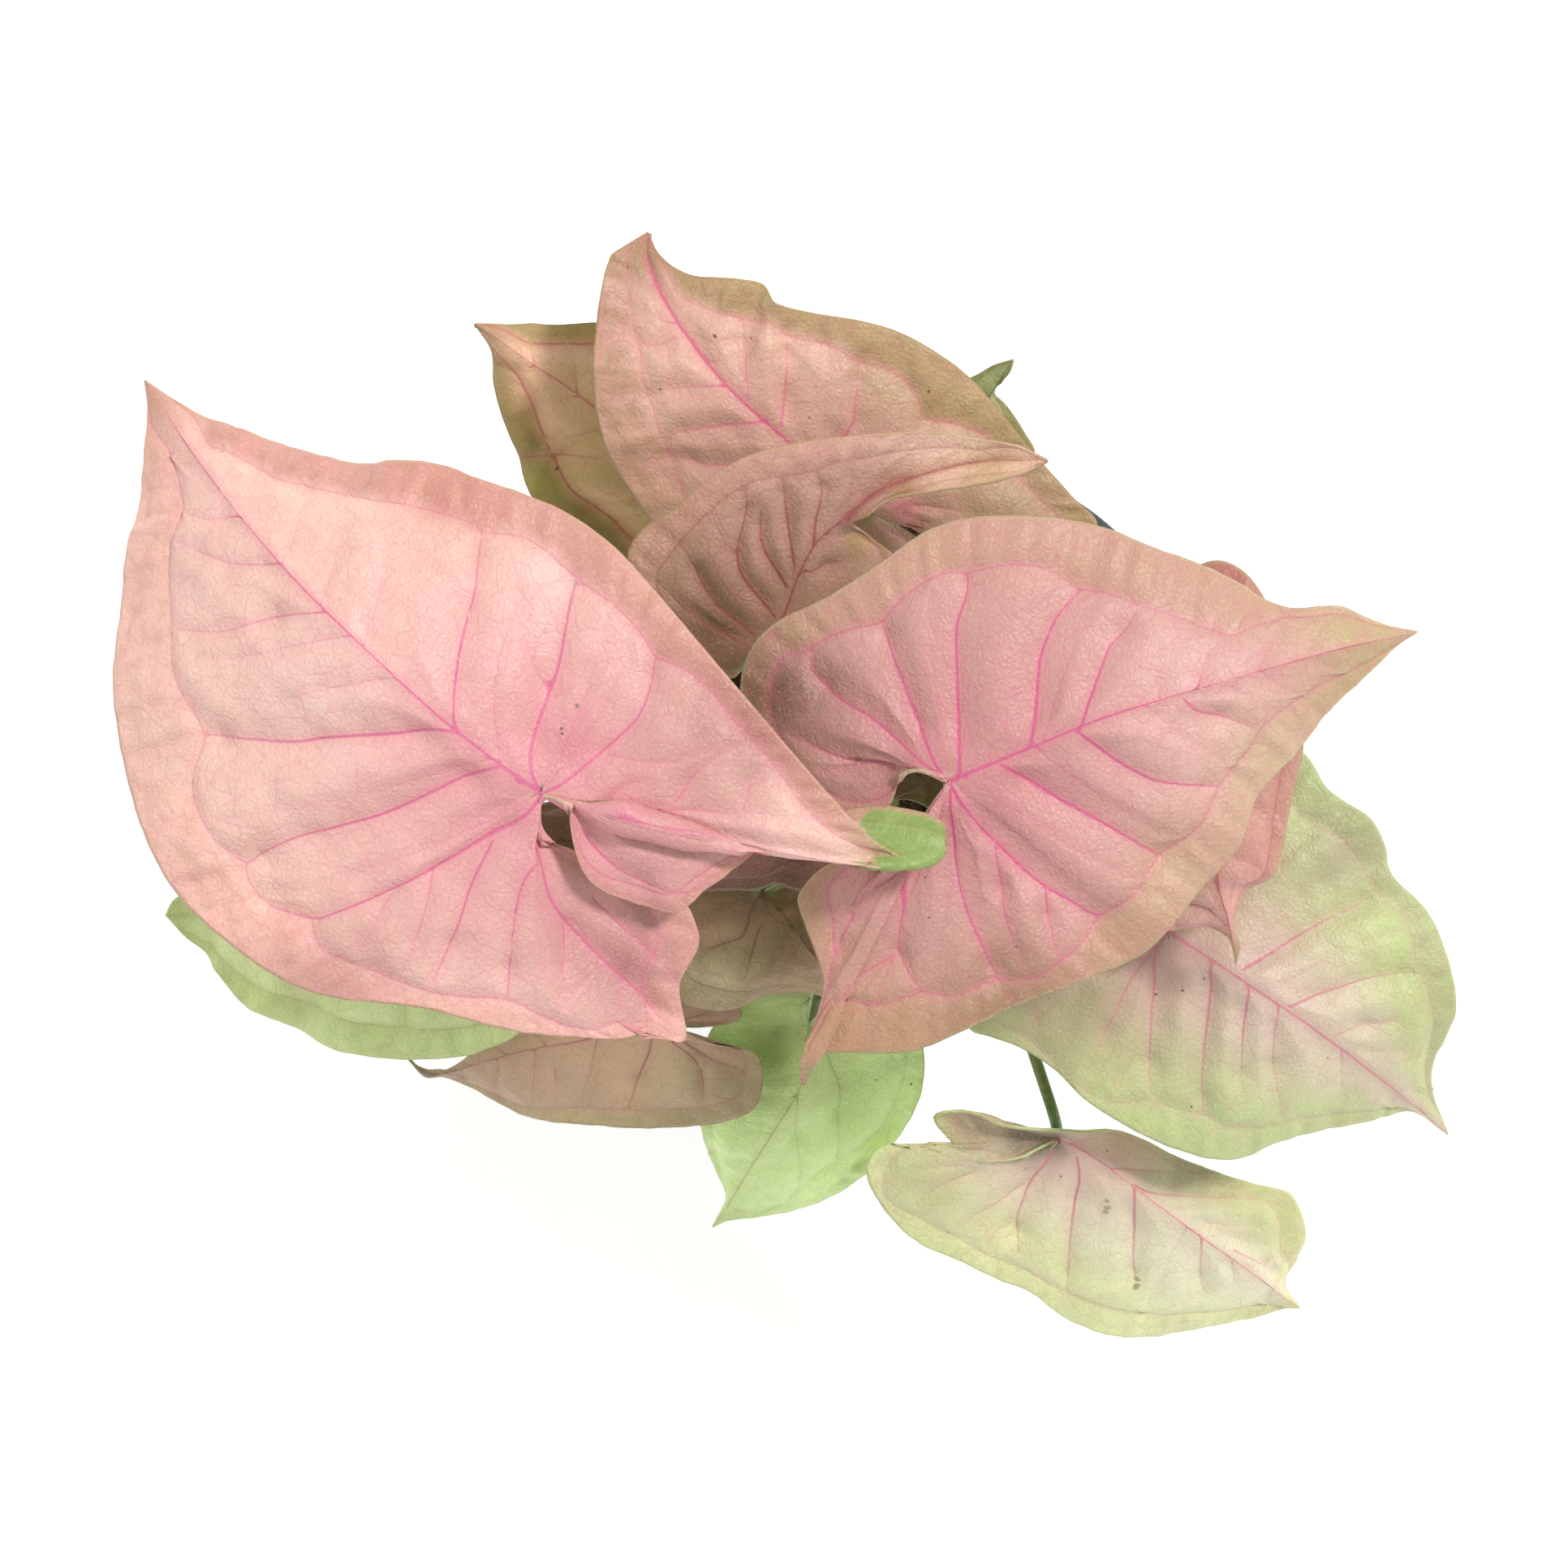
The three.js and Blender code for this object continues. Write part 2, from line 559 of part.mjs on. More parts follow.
function thickened({ vertices, triangles }) {
  const normals = vertices.map(() => new THREE.Vector3());
  const edges = new Set();
  for (const [a, b, c] of triangles) {
    const ab = vertices[b].clone().sub(vertices[a]);
    const ac = vertices[c].clone().sub(vertices[a]);
    const normal = ab.cross(ac);
    for (const corner of [a, b, c]) {
      normals[corner].add(normal);
    }
    edges.add(`${a},${b}`).add(`${b},${c}`).add(`${c},${a}`);
  }
  const positions = [];
  for (const side of [0.5, -0.5]) {
    vertices.forEach((vertex, i) => {
      const offset = normals[i].clone().normalize().multiplyScalar(side * BLADE_THICKNESS);
      positions.push(...vertex.clone().add(offset).toArray());
    });
  }
  const under = vertices.length;
  const indices = [];
  for (const [a, b, c] of triangles) {
    indices.push(a, b, c, under + a, under + c, under + b);
    for (const [from, to] of [[a, b], [b, c], [c, a]]) {
      if (!edges.has(`${to},${from}`)) {
        indices.push(to, from, under + from, to, under + from, under + to);
      }
    }
  }
  const geometry = new THREE.BufferGeometry();
  geometry.setAttribute('position', new THREE.Float32BufferAttribute(positions, 3));
  geometry.setIndex(indices);
  return geometry;
}

// Stalk: a round tube from inside the stem up to just under the leaf's joint, with the wider sheath
// that wraps its foot.

function tubeAlong(points, radius, steps) {
  const section = new THREE.Shape();
  section.absarc(0, 0, radius, 0, 2 * Math.PI);
  return new THREE.ExtrudeGeometry(section, {
    steps,
    curveSegments: STALK_SIDES / 2,
    bevelEnabled: false,
    extrudePath: new THREE.CatmullRomCurve3(points),
  });
}

function stalkPath(stem, stalk, order) {
  const joint = place(LEAVES.find((leaf) => leaf.name === stalk.leaf).joint);
  const foot = new THREE.Vector3(...stem.at, STALK_START + 2 * order);
  const back = new THREE.Vector3(foot.x - joint.x, foot.y - joint.y, 0);
  back.setLength(Math.min(APPROACH_BACK, back.length() / 2));
  const approach = joint.clone().add(back);
  approach.z -= APPROACH_DROP;
  const points = [];
  for (const share of [0, 0.2, 0.4, 0.6, 0.8]) {
    const swing = Math.sin(Math.PI * share);
    points.push(new THREE.Vector3(
      THREE.MathUtils.lerp(foot.x, approach.x, share) + stalk.bend[0] * swing,
      THREE.MathUtils.lerp(foot.y, approach.y, share) + stalk.bend[1] * swing,
      THREE.MathUtils.lerp(foot.z, approach.z, 1 - (1 - share) ** STALK_RISE),
    ));
  }
  points.push(approach);
  points.push(joint.clone().setZ(joint.z - JOINT_DROP));
  return points;
}

function stemSolid(stem) {
  const ringed = [];
  for (const height of [SOIL_LEVEL + 5, SOIL_LEVEL + 12]) {
    ringed.push([STEM_RADIUS, height - 1.5], [STEM_RADIUS + NODE_SWELL, height], [STEM_RADIUS, height + 1.5]);
  }
  const profile = [[0, STEM_FOOT], [STEM_RADIUS, STEM_FOOT], ...ringed,
    [STEM_RADIUS, STEM_TOP - 3], [STEM_RADIUS / 2, STEM_TOP], [0, STEM_TOP]];
  const core = turned(profile, STEM_SIDES);
  core.translate(...stem.at, 0);
  let solid = solidOf(core);
  stem.stalks.forEach((stalk, order) => {
    const path = stalkPath(stem, stalk, order);
    const curve = new THREE.CatmullRomCurve3(path);
    const sheath = [0, 0.33, 0.66, 1].map((share) => curve.getPointAt(share * SHEATH_SHARE));
    solid = solid.add(solidOf(tubeAlong(path, STALK_RADIUS, STALK_STEPS)));
    solid = solid.add(solidOf(tubeAlong(sheath, SHEATH_RADIUS, SHEATH_STEPS)));
  });
  return solid;
}

function potGeometry() {
  const lipFoot = POT_HEIGHT - POT_LIP_HEIGHT;
  const profile = [
    [0, 0], [POT_BASE_RADIUS, 0], [POT_TOP_RADIUS, lipFoot], [POT_RIM_RADIUS, lipFoot],
    [POT_RIM_RADIUS, POT_HEIGHT], [POT_TOP_RADIUS - POT_WALL, POT_HEIGHT],
    [POT_TOP_RADIUS - POT_WALL, lipFoot], [POT_BASE_RADIUS - POT_WALL, POT_FLOOR], [0, POT_FLOOR],
  ];
  let solid = solidOf(turned(profile, POT_SIDES));
  for (let i = 0; i < DRAIN_COUNT; i += 1) {
    const angle = (2 * Math.PI * (i + 0.5)) / DRAIN_COUNT;
    const hole = upright(DRAIN_RADIUS, -POT_FLOOR, 2 * POT_FLOOR, 12);
    hole.translate(DRAIN_CIRCLE * Math.cos(angle), DRAIN_CIRCLE * Math.sin(angle), 0);
    solid = solid.subtract(solidOf(hole));
  }
  return geometryOf(solid);
}

function soilGeometry() {
  const lipFoot = POT_HEIGHT - POT_LIP_HEIGHT;
  const low = POT_FLOOR + SEAT_GAP;
  const slope = (POT_TOP_RADIUS - POT_BASE_RADIUS) / lipFoot;
  const radiusAt = (height) => POT_BASE_RADIUS - POT_WALL - SEAT_GAP + slope * (height - low);
  const top = radiusAt(SOIL_LEVEL);
  const profile = [
    [0, low], [radiusAt(low), low], [top, SOIL_LEVEL], [0.75 * top, SOIL_LEVEL + 0.4 * SOIL_CROWN],
    [0.45 * top, SOIL_LEVEL + 0.8 * SOIL_CROWN], [0, SOIL_LEVEL + SOIL_CROWN],
  ];
  let solid = solidOf(turned(profile, POT_SIDES));
  for (const stem of STEMS) {
    const hole = upright(STEM_RADIUS + SEAT_GAP, STEM_FOOT - SEAT_GAP, POT_HEIGHT, STEM_SIDES);
    hole.translate(...stem.at, 0);
    solid = solid.subtract(solidOf(hole));
  }
  return geometryOf(solid);
}

function piece(name, geometry, colour, roughness) {
  const material = new THREE.MeshStandardMaterial({ color: colour, roughness, metalness: 0 });
  const mesh = new THREE.Mesh(geometry, material);
  mesh.name = name;
  return mesh;
}

const plant = new THREE.Group();
plant.add(piece('pot', potGeometry(), 0x3a4147, 0.55));
plant.add(piece('soil', soilGeometry(), 0x3b2a1e, 0.95));
for (const stem of STEMS) {
  plant.add(piece(stem.name, geometryOf(stemSolid(stem)), 0x6f9440, 0.5));
}
for (const leaf of LEAVES) {
  plant.add(piece(leaf.name, thickened(bladeSheet(leaf)), leaf.colour, 0.45));
}

export default plant;
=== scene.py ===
import math
import bmesh
import bpy
import numpy as np
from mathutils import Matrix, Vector, kdtree


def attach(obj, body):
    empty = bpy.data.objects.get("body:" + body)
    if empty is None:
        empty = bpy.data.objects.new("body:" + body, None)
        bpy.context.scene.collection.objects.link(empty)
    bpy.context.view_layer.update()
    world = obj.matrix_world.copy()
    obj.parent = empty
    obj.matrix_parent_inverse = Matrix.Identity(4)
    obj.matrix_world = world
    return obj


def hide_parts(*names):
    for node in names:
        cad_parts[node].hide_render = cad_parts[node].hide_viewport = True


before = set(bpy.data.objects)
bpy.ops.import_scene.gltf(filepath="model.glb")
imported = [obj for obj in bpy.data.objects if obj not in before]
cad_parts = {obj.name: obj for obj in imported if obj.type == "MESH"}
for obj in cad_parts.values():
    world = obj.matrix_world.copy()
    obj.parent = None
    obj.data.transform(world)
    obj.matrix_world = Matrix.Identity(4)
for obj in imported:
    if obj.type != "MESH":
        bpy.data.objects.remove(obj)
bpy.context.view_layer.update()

# View
# The plant is seen from straight above, with its front edge at the bottom of the view. The leaves
# are laid out on that view as points (across, down, height in mm), on a square 1932 units wide.
VIEW_SIZE = 1932
VIEW_CENTRE = VIEW_SIZE / 2
VIEW_FOCAL = 8000
VIEW_HEIGHT = 1400
VIEW_X = -30.1
VIEW_Y = -11.6
SENSOR = 36.0


def add_object(name, data):
    added = bpy.data.objects.new(name, data)
    bpy.context.scene.collection.objects.link(added)
    return added


camera_data = bpy.data.cameras.new("view")
camera_data.sensor_width = SENSOR
camera_data.lens = SENSOR * VIEW_FOCAL / VIEW_SIZE
camera_data.clip_start = 0.1
camera_data.clip_end = 10.0
camera = add_object("view", camera_data)
camera.location = (VIEW_X / 1000, VIEW_Y / 1000, VIEW_HEIGHT / 1000)
bpy.context.scene.camera = camera

# Studio
# A plain white table top in a white room that lights the plant evenly. A soft lamp high on the right
# behind the plant picks out the folds of the leaves, and a weaker one fills the shadows from the left.
FLOOR_SIZE = 3.0
TABLE_GLOW = 0.47
ROOM_LIGHT = 0.5
WHITE = (1.0, 1.0, 1.0, 1.0)
LAMP_COLOUR = (1.0, 0.985, 0.96)
LAMP_TARGET = Vector((0, 0, 0.15))
LAMP_POWER = 2.1
LAMP_SPREAD = 10
LAMP_PLACE = (0.72, 0.52, 1.25)
FILL_POWER = 0.6
FILL_SPREAD = 40
FILL_PLACE = (-0.9, -0.15, 0.9)


def srgb(red, green, blue):
    channels = [value / 255 for value in (red, green, blue)]
    linear = [c / 12.92 if c <= 0.04045 else ((c + 0.055) / 1.055) ** 2.4 for c in channels]
    return (*linear, 1.0)


def new_material(name):
    material = bpy.data.materials.new(name)
    material.use_nodes = True
    nodes = material.node_tree.nodes
    nodes.clear()
    output = nodes.new("ShaderNodeOutputMaterial")
    shader = nodes.new("ShaderNodeBsdfPrincipled")
    material.node_tree.links.new(shader.outputs["BSDF"], output.inputs["Surface"])
    return material, shader


def add_node(material, kind, inputs=None, **settings):
    node = material.node_tree.nodes.new(kind)
    for key, value in settings.items():
        setattr(node, key, value)
    for key, value in (inputs or {}).items():
        if isinstance(value, bpy.types.NodeSocket):
            material.node_tree.links.new(value, node.inputs[key])
        else:
            node.inputs[key].default_value = value
    return node


def object_noise(material, scale, detail=3.0, roughness=0.55, flattened=1.0):
    spot = add_node(material, "ShaderNodeTexCoord").outputs["Object"]
    if flattened < 1:
        stretch = (1.0, 1.0, flattened)
        spot = add_node(material, "ShaderNodeMapping", {"Vector": spot, "Scale": stretch}).outputs["Vector"]
    noise = add_node(material, "ShaderNodeTexNoise", {
        "Vector": spot, "Scale": scale, "Detail": detail, "Roughness": roughness})
    return noise.outputs["Fac"]


def ramp(material, value, low, high, out_low=0.0, out_high=1.0):
    node = add_node(material, "ShaderNodeMapRange", {
        "Value": value, "From Min": low, "From Max": high, "To Min": out_low, "To Max": out_high},
        interpolation_type="SMOOTHSTEP")
    return node.outputs["Result"]


def blend(material, factor, first, second):
    mix_inputs = {0: factor, 6: first, 7: second}
    return add_node(material, "ShaderNodeMix", mix_inputs, data_type="RGBA").outputs[2]


def combine(material, kind, first, second):
    return add_node(material, "ShaderNodeMath", {0: first, 1: second}, operation=kind).outputs[0]


def plug(material, value, socket):
    material.node_tree.links.new(value, socket)


def smoothed(mesh):
    mesh.polygons.foreach_set("use_smooth", [True] * len(mesh.polygons))


def new_piece(name, vertices, faces, material):
    mesh = bpy.data.meshes.new(name)
    mesh.from_pydata([tuple(v) for v in vertices], [], [tuple(f) for f in faces])
    mesh.materials.append(material)
    smoothed(mesh)
    return add_object(name, mesh)


table_skin, table_shader = new_material("table_top")
table_shade = blend(table_skin, object_noise(table_skin, 6.0), (0.93, 0.93, 0.93, 1), (0.96, 0.96, 0.96, 1))
plug(table_skin, table_shade, table_shader.inputs["Base Color"])
table_shader.inputs["Roughness"].default_value = 0.9
table_shader.inputs["Emission Color"].default_value = WHITE
table_shader.inputs["Emission Strength"].default_value = TABLE_GLOW
half = FLOOR_SIZE / 2
floor = new_piece("table_top", [(-half, -half, 0), (half, -half, 0), (half, half, 0), (-half, half, 0)],
                  [(0, 1, 2, 3)], table_skin)

world = bpy.data.worlds.new("room")
bpy.context.scene.world = world
world.use_nodes = True
background = world.node_tree.nodes["Background"]
background.inputs["Color"].default_value = WHITE
background.inputs["Strength"].default_value = ROOM_LIGHT

for lamp_name, power, spread, place_m in (("soft_lamp", LAMP_POWER, LAMP_SPREAD, LAMP_PLACE),
                                          ("fill_lamp", FILL_POWER, FILL_SPREAD, FILL_PLACE)):
    lamp_data = bpy.data.lights.new(lamp_name, "SUN")
    lamp_data.energy = power
    lamp_data.angle = math.radians(spread)
    lamp_data.color = LAMP_COLOUR
    lamp = add_object(lamp_name, lamp_data)
    lamp.location = place_m
    lamp.rotation_euler = (LAMP_TARGET - Vector(place_m)).to_track_quat("-Z", "Y").to_euler()
bpy.context.scene.view_settings.view_transform = "Standard"

# Pot
# A round nursery pot of thin dark plastic, moulded in one piece, with a turned-out lip and six round
# drain holes in its floor. The draw marks of the mould run up the wall.
POT_HEIGHT = 90
POT_RIM_RADIUS = 54
POT_TOP_RADIUS = 51.5
POT_BASE_RADIUS = 38
POT_LIP_HEIGHT = 7
POT_WALL = 1.5
POT_FLOOR = 2
POT_HUB = 12
POT_SIDES = 160
WALL_STEPS = [(4.5, 28), (9, 56)]
CORNER = 0.45
CORNER_STEPS = 4
DRAIN_COUNT = 6
DRAIN_RADIUS = 3.5
DRAIN_CIRCLE = 26
DRILL_SIDES = 32
SHARP_EDGE = 40
POT_COLOUR = srgb(58, 66, 72)
POT_WORN_COLOUR = srgb(86, 95, 100)
POT_DUST_COLOUR = srgb(128, 118, 100)


def rounded(profile, radius):
    points = []
    for i, (r, z) in enumerate(profile):
        before, after = profile[i - 1], profile[(i + 1) % len(profile)]
        if r == 0 or i in (0, len(profile) - 1):
            points.append((r, z))
            continue
        corner = Vector((r, z))
        to_before = Vector(before) - corner
        to_after = Vector(after) - corner
        cut = min(radius, to_before.length / 2, to_after.length / 2)
        first = corner + to_before.normalized() * cut
        last = corner + to_after.normalized() * cut
        for step in range(CORNER_STEPS + 1):
            t = step / CORNER_STEPS
            spot = first * (1 - t) ** 2 + corner * 2 * t * (1 - t) + last * t ** 2
            points.append((spot.x, spot.y))
    return points


def on_circle(radius, angle):
    return radius * math.cos(angle), radius * math.sin(angle)


def turned(profile, sides):
    vertices, rings = [], []
    for r, z in profile:
        first = len(vertices)
        if r < 1e-6:
            vertices.append((0, 0, z / 1000))
            rings.append([first] * sides)
            continue
        for k in range(sides):
            x, y = on_circle(r, 2 * math.pi * k / sides)
            vertices.append((x / 1000, y / 1000, z / 1000))
        rings.append(list(range(first, first + sides)))
    faces = []
    for low, high in zip(rings, rings[1:]):
        for k in range(sides):
            n = (k + 1) % sides
            corners = [low[k], low[n], high[n], high[k]]
            face = [v for i, v in enumerate(corners) if v not in corners[:i]]
            if len(face) > 2:
                faces.append(face)
    return vertices, faces


def roughen(material, shader, strength, distance, height):
    bump = add_node(material, "ShaderNodeBump", {
        "Strength": strength, "Distance": distance, "Height": height})
    plug(material, bump.outputs["Normal"], shader.inputs["Normal"])


def baked(piece):
    graph = bpy.context.evaluated_depsgraph_get()
    plain = bpy.data.meshes.new_from_object(piece.evaluated_get(graph), depsgraph=graph)
    piece.modifiers.clear()
    old = piece.data
    piece.data = plain
    plain.name = old.name
    bpy.data.meshes.remove(old)


lip_foot = POT_HEIGHT - POT_LIP_HEIGHT
pot_inside = POT_TOP_RADIUS - POT_WALL
pot_outline = [
    (0, 0), (POT_HUB, 0), (POT_BASE_RADIUS, 0),
    *((POT_BASE_RADIUS + wider, height) for wider, height in WALL_STEPS),
    (POT_TOP_RADIUS, lip_foot), (POT_RIM_RADIUS, lip_foot), (POT_RIM_RADIUS, POT_HEIGHT),
    (pot_inside, POT_HEIGHT), (pot_inside, lip_foot),
    (POT_BASE_RADIUS - POT_WALL, POT_FLOOR), (POT_HUB, POT_FLOOR), (0, POT_FLOOR)]

pot_skin, pot_shader = new_material("pot_plastic")
pot_streaks = object_noise(pot_skin, 420.0, 4.0, 0.5, 0.06)
pot_grain = object_noise(pot_skin, 1800.0)
pot_dust = ramp(pot_skin, object_noise(pot_skin, 45.0, 5.0), 0.5, 0.78)
pot_tone = blend(pot_skin, ramp(pot_skin, pot_streaks, 0.35, 0.7, 0.0, 0.35), POT_COLOUR, POT_WORN_COLOUR)
pot_tone = blend(pot_skin, combine(pot_skin, "MULTIPLY", pot_dust, 0.18), pot_tone, POT_DUST_COLOUR)
plug(pot_skin, pot_tone, pot_shader.inputs["Base Color"])
plug(pot_skin, ramp(pot_skin, pot_grain, 0.2, 0.8, 0.42, 0.62), pot_shader.inputs["Roughness"])
roughen(pot_skin, pot_shader, 0.25, 0.0002, combine(pot_skin, "ADD", pot_grain, pot_streaks))

pot = new_piece("pot_shell", *turned(rounded(pot_outline, CORNER), POT_SIDES), pot_skin)
drills = bmesh.new()
for i in range(DRAIN_COUNT):
    added = bmesh.ops.create_cone(drills, cap_ends=True, segments=DRILL_SIDES, radius1=DRAIN_RADIUS / 1000,
                                  radius2=DRAIN_RADIUS / 1000, depth=0.008)
    x, y = on_circle(DRAIN_CIRCLE, 2 * math.pi * (i + 0.5) / DRAIN_COUNT)
    bmesh.ops.translate(drills, verts=added["verts"], vec=(x / 1000, y / 1000, 0.001))
drill_mesh = bpy.data.meshes.new("drain_drills")
drills.to_mesh(drill_mesh)
drills.free()
drill = add_object("drain_drills", drill_mesh)
cutter = pot.modifiers.new("drain_holes", "BOOLEAN")
cutter.operation = "DIFFERENCE"
cutter.solver = "EXACT"
cutter.object = drill
baked(pot)
bpy.data.objects.remove(drill)
bpy.data.meshes.remove(drill_mesh)
pot.data.set_sharp_from_angle(angle=math.radians(SHARP_EDGE))
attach(pot, "root")
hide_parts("pot")

# Compost
# A moist dark mix of coir, bark and a little perlite that fills the pot to below the lip and is mounded
# at the stems. The crumbs lie loose on the top, each half sunk in it.
SOIL_LEVEL = 80
SOIL_CROWN = 2.5
SEAT_GAP = 0.3
SOIL_WALL_STEPS = 12
SOIL_RINGS = 70
SOIL_SIDES = 180
LUMP_FADE = 4
LUMP_SINK = 0.35
CRUMB_COUNT = 5200
CHIP_COUNT = 420
PERLITE_COUNT = 150
EDGE_GAP = 1.2
STEM_PLACES = [(-9, 5), (9, 7), (10, -9), (-8, -10)]
STEM_RADIUS = 3.6
STEM_GAP = 0.6


def soil_height(x, y, r, top):
    shape = np.interp(r / top, [0, 0.45, 0.75, 1.0], [1.0, 0.8, 0.4, 0.0]) * SOIL_CROWN
    lumps = (0.55 * np.sin(0.43 * x + 1.3) * np.sin(0.39 * y + 0.4) + 0.4 * np.sin(0.91 * x - 0.7 * y)
             + 0.3 * np.sin(1.7 * y + 0.8 * x + 2.0) * np.sin(1.9 * x - 1.1))
    return SOIL_LEVEL + shape + lumps * np.clip((top - r) / LUMP_FADE, 0, 1) - LUMP_SINK


soil_slope = (POT_TOP_RADIUS - POT_BASE_RADIUS) / lip_foot
soil_low = POT_FLOOR + SEAT_GAP
soil_base = POT_BASE_RADIUS - POT_WALL - SEAT_GAP
soil_top = soil_base + soil_slope * (SOIL_LEVEL - soil_low)
soil_profile = [(0.0, soil_low), (soil_base, soil_low)]
for step in range(1, SOIL_WALL_STEPS):
    z = soil_low + (SOIL_LEVEL - soil_low) * step / SOIL_WALL_STEPS
    soil_profile.append((soil_base + soil_slope * (z - soil_low), z))
for step in range(SOIL_RINGS):
    soil_profile.append((soil_top * (1 - step / SOIL_RINGS), SOIL_LEVEL))
soil_profile.append((0.0, SOIL_LEVEL))
soil_vertices, soil_faces = turned(soil_profile, SOIL_SIDES)
soil_points = np.array(soil_vertices) * 1000
on_top = soil_points[:, 2] > SOIL_LEVEL - 0.01
soil_radius = np.hypot(soil_points[:, 0], soil_points[:, 1])
heights = soil_height(soil_points[:, 0], soil_points[:, 1], soil_radius, soil_top)
soil_points[on_top, 2] = heights[on_top]

soil_skin, soil_shader = new_material("compost")
soil_fine = object_noise(soil_skin, 900.0, 6.0, 0.7)
soil_broad = object_noise(soil_skin, 120.0, 4.0)
soil_tone = blend(soil_skin, ramp(soil_skin, soil_fine, 0.3, 0.7), srgb(28, 19, 13), srgb(82, 58, 38))
soil_tone = blend(soil_skin, ramp(soil_skin, soil_broad, 0.4, 0.65, 0.0, 0.5), soil_tone, srgb(46, 31, 20))
plug(soil_skin, soil_tone, soil_shader.inputs["Base Color"])
plug(soil_skin, ramp(soil_skin, soil_broad, 0.3, 0.7, 0.7, 0.98), soil_shader.inputs["Roughness"])
roughen(soil_skin, soil_shader, 0.8, 0.0008, soil_fine)
soil = new_piece("compost_body", soil_points / 1000, soil_faces, soil_skin)
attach(soil, "root")
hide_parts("soil")


def crumb_shape(name, stretch, colour_low, colour_high, seed):
    skin, shader = new_material(name)
    tone = ramp(skin, object_noise(skin, 700.0, 4.0), 0.3, 0.7)
    plug(skin, blend(skin, tone, colour_low, colour_high), shader.inputs["Base Color"])
    shader.inputs["Roughness"].default_value = 0.92
    shape = bmesh.new()
    bmesh.ops.create_icosphere(shape, subdivisions=1, radius=0.5)
    random = np.random.default_rng(seed)
    for vertex in shape.verts:
        vertex.co = vertex.co * float(random.uniform(0.75, 1.15))
        vertex.co = [value * share for value, share in zip(vertex.co, stretch)]
    mesh = bpy.data.meshes.new(name)
    shape.to_mesh(mesh)
    shape.free()
    mesh.materials.append(skin)
    return add_object(name, mesh), skin


def scatter_tree(name):
    tree = bpy.data.node_groups.new(name, "GeometryNodeTree")
    for socket, kind in (("Geometry", "Geometry"), ("Crumb", "Object"), ("Skin", "Material"),
                         ("Smallest", "Float"), ("Largest", "Float"), ("Seed", "Int")):
        tree.interface.new_socket(socket, in_out="INPUT", socket_type="NodeSocket" + kind)
    tree.interface.new_socket("Geometry", in_out="OUTPUT", socket_type="NodeSocketGeometry")
    nodes = tree.nodes
    given = nodes.new("NodeGroupInput").outputs
    result = nodes.new("NodeGroupOutput")
    points = nodes.new("GeometryNodeMeshToPoints")
    turn = nodes.new("FunctionNodeRandomValue")
    turn.data_type = "FLOAT_VECTOR"
    turn.inputs["Max"].default_value = (6.28, 6.28, 6.28)
    size = nodes.new("FunctionNodeRandomValue")
    size.data_type = "FLOAT"
    crumb = nodes.new("GeometryNodeObjectInfo")
    put_on = nodes.new("GeometryNodeInstanceOnPoints")
    realize = nodes.new("GeometryNodeRealizeInstances")
    cover = nodes.new("GeometryNodeSetMaterial")
    for source, target in (
            (given["Geometry"], points.inputs["Mesh"]), (given["Crumb"], crumb.inputs["Object"]),
            (given["Seed"], turn.inputs["Seed"]), (given["Seed"], size.inputs["Seed"]),
            (given["Smallest"], size.inputs[2]), (given["Largest"], size.inputs[3]),
            (points.outputs["Points"], put_on.inputs["Points"]),
            (crumb.outputs["Geometry"], put_on.inputs["Instance"]),
            (turn.outputs[0], put_on.inputs["Rotation"]), (size.outputs[1], put_on.inputs["Scale"]),
            (put_on.outputs["Instances"], realize.inputs["Geometry"]),
            (realize.outputs["Geometry"], cover.inputs["Geometry"]),
            (given["Skin"], cover.inputs["Material"]),
            (cover.outputs["Geometry"], result.inputs["Geometry"])):
        tree.links.new(source, target)
    return tree


scatter = scatter_tree("scatter_crumbs")


def scattered(name, crumb, skin, count, smallest, largest, seed):
    random = np.random.default_rng(seed)
    spots = []
    while len(spots) < count:
        r = (soil_top - EDGE_GAP) * math.sqrt(random.random())
        x, y = on_circle(r, random.random() * 2 * math.pi)
        if min(math.hypot(x - stem[0], y - stem[1]) for stem in STEM_PLACES) < STEM_RADIUS + STEM_GAP:
            continue
        z = float(soil_height(x, y, r, soil_top)) + smallest * 150
        spots.append((x / 1000, y / 1000, z / 1000))
    mesh = bpy.data.meshes.new(name)
    mesh.from_pydata(spots, [], [])
    piece = add_object(name, mesh)
    modifier = piece.modifiers.new("scatter", "NODES")
    modifier.node_group = scatter
    sockets = {s.name: s.identifier for s in scatter.interface.items_tree if s.in_out == "INPUT"}
    modifier[sockets["Crumb"]] = crumb
    modifier[sockets["Skin"]] = skin
    modifier[sockets["Smallest"]] = smallest
    modifier[sockets["Largest"]] = largest
    modifier[sockets["Seed"]] = seed
    baked(piece)
    smoothed(piece.data)
    bpy.data.objects.remove(crumb)
    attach(piece, "root")
    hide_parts("soil")


coir = crumb_shape("coir_crumb", (1, 0.8, 0.7), srgb(38, 25, 16), srgb(92, 64, 42), 3)
scattered("coir_crumbs", *coir, CRUMB_COUNT, 0.0007, 0.0021, 11)
bark = crumb_shape("bark_chip", (1, 0.55, 0.28), srgb(60, 38, 24), srgb(124, 86, 56), 5)
scattered("bark_chips", *bark, CHIP_COUNT, 0.003, 0.0065, 12)
perlite = crumb_shape("perlite_grain", (1, 0.9, 0.85), srgb(196, 190, 178), srgb(236, 232, 224), 7)
scattered("perlite_grains", *perlite, PERLITE_COUNT, 0.0012, 0.0026, 13)

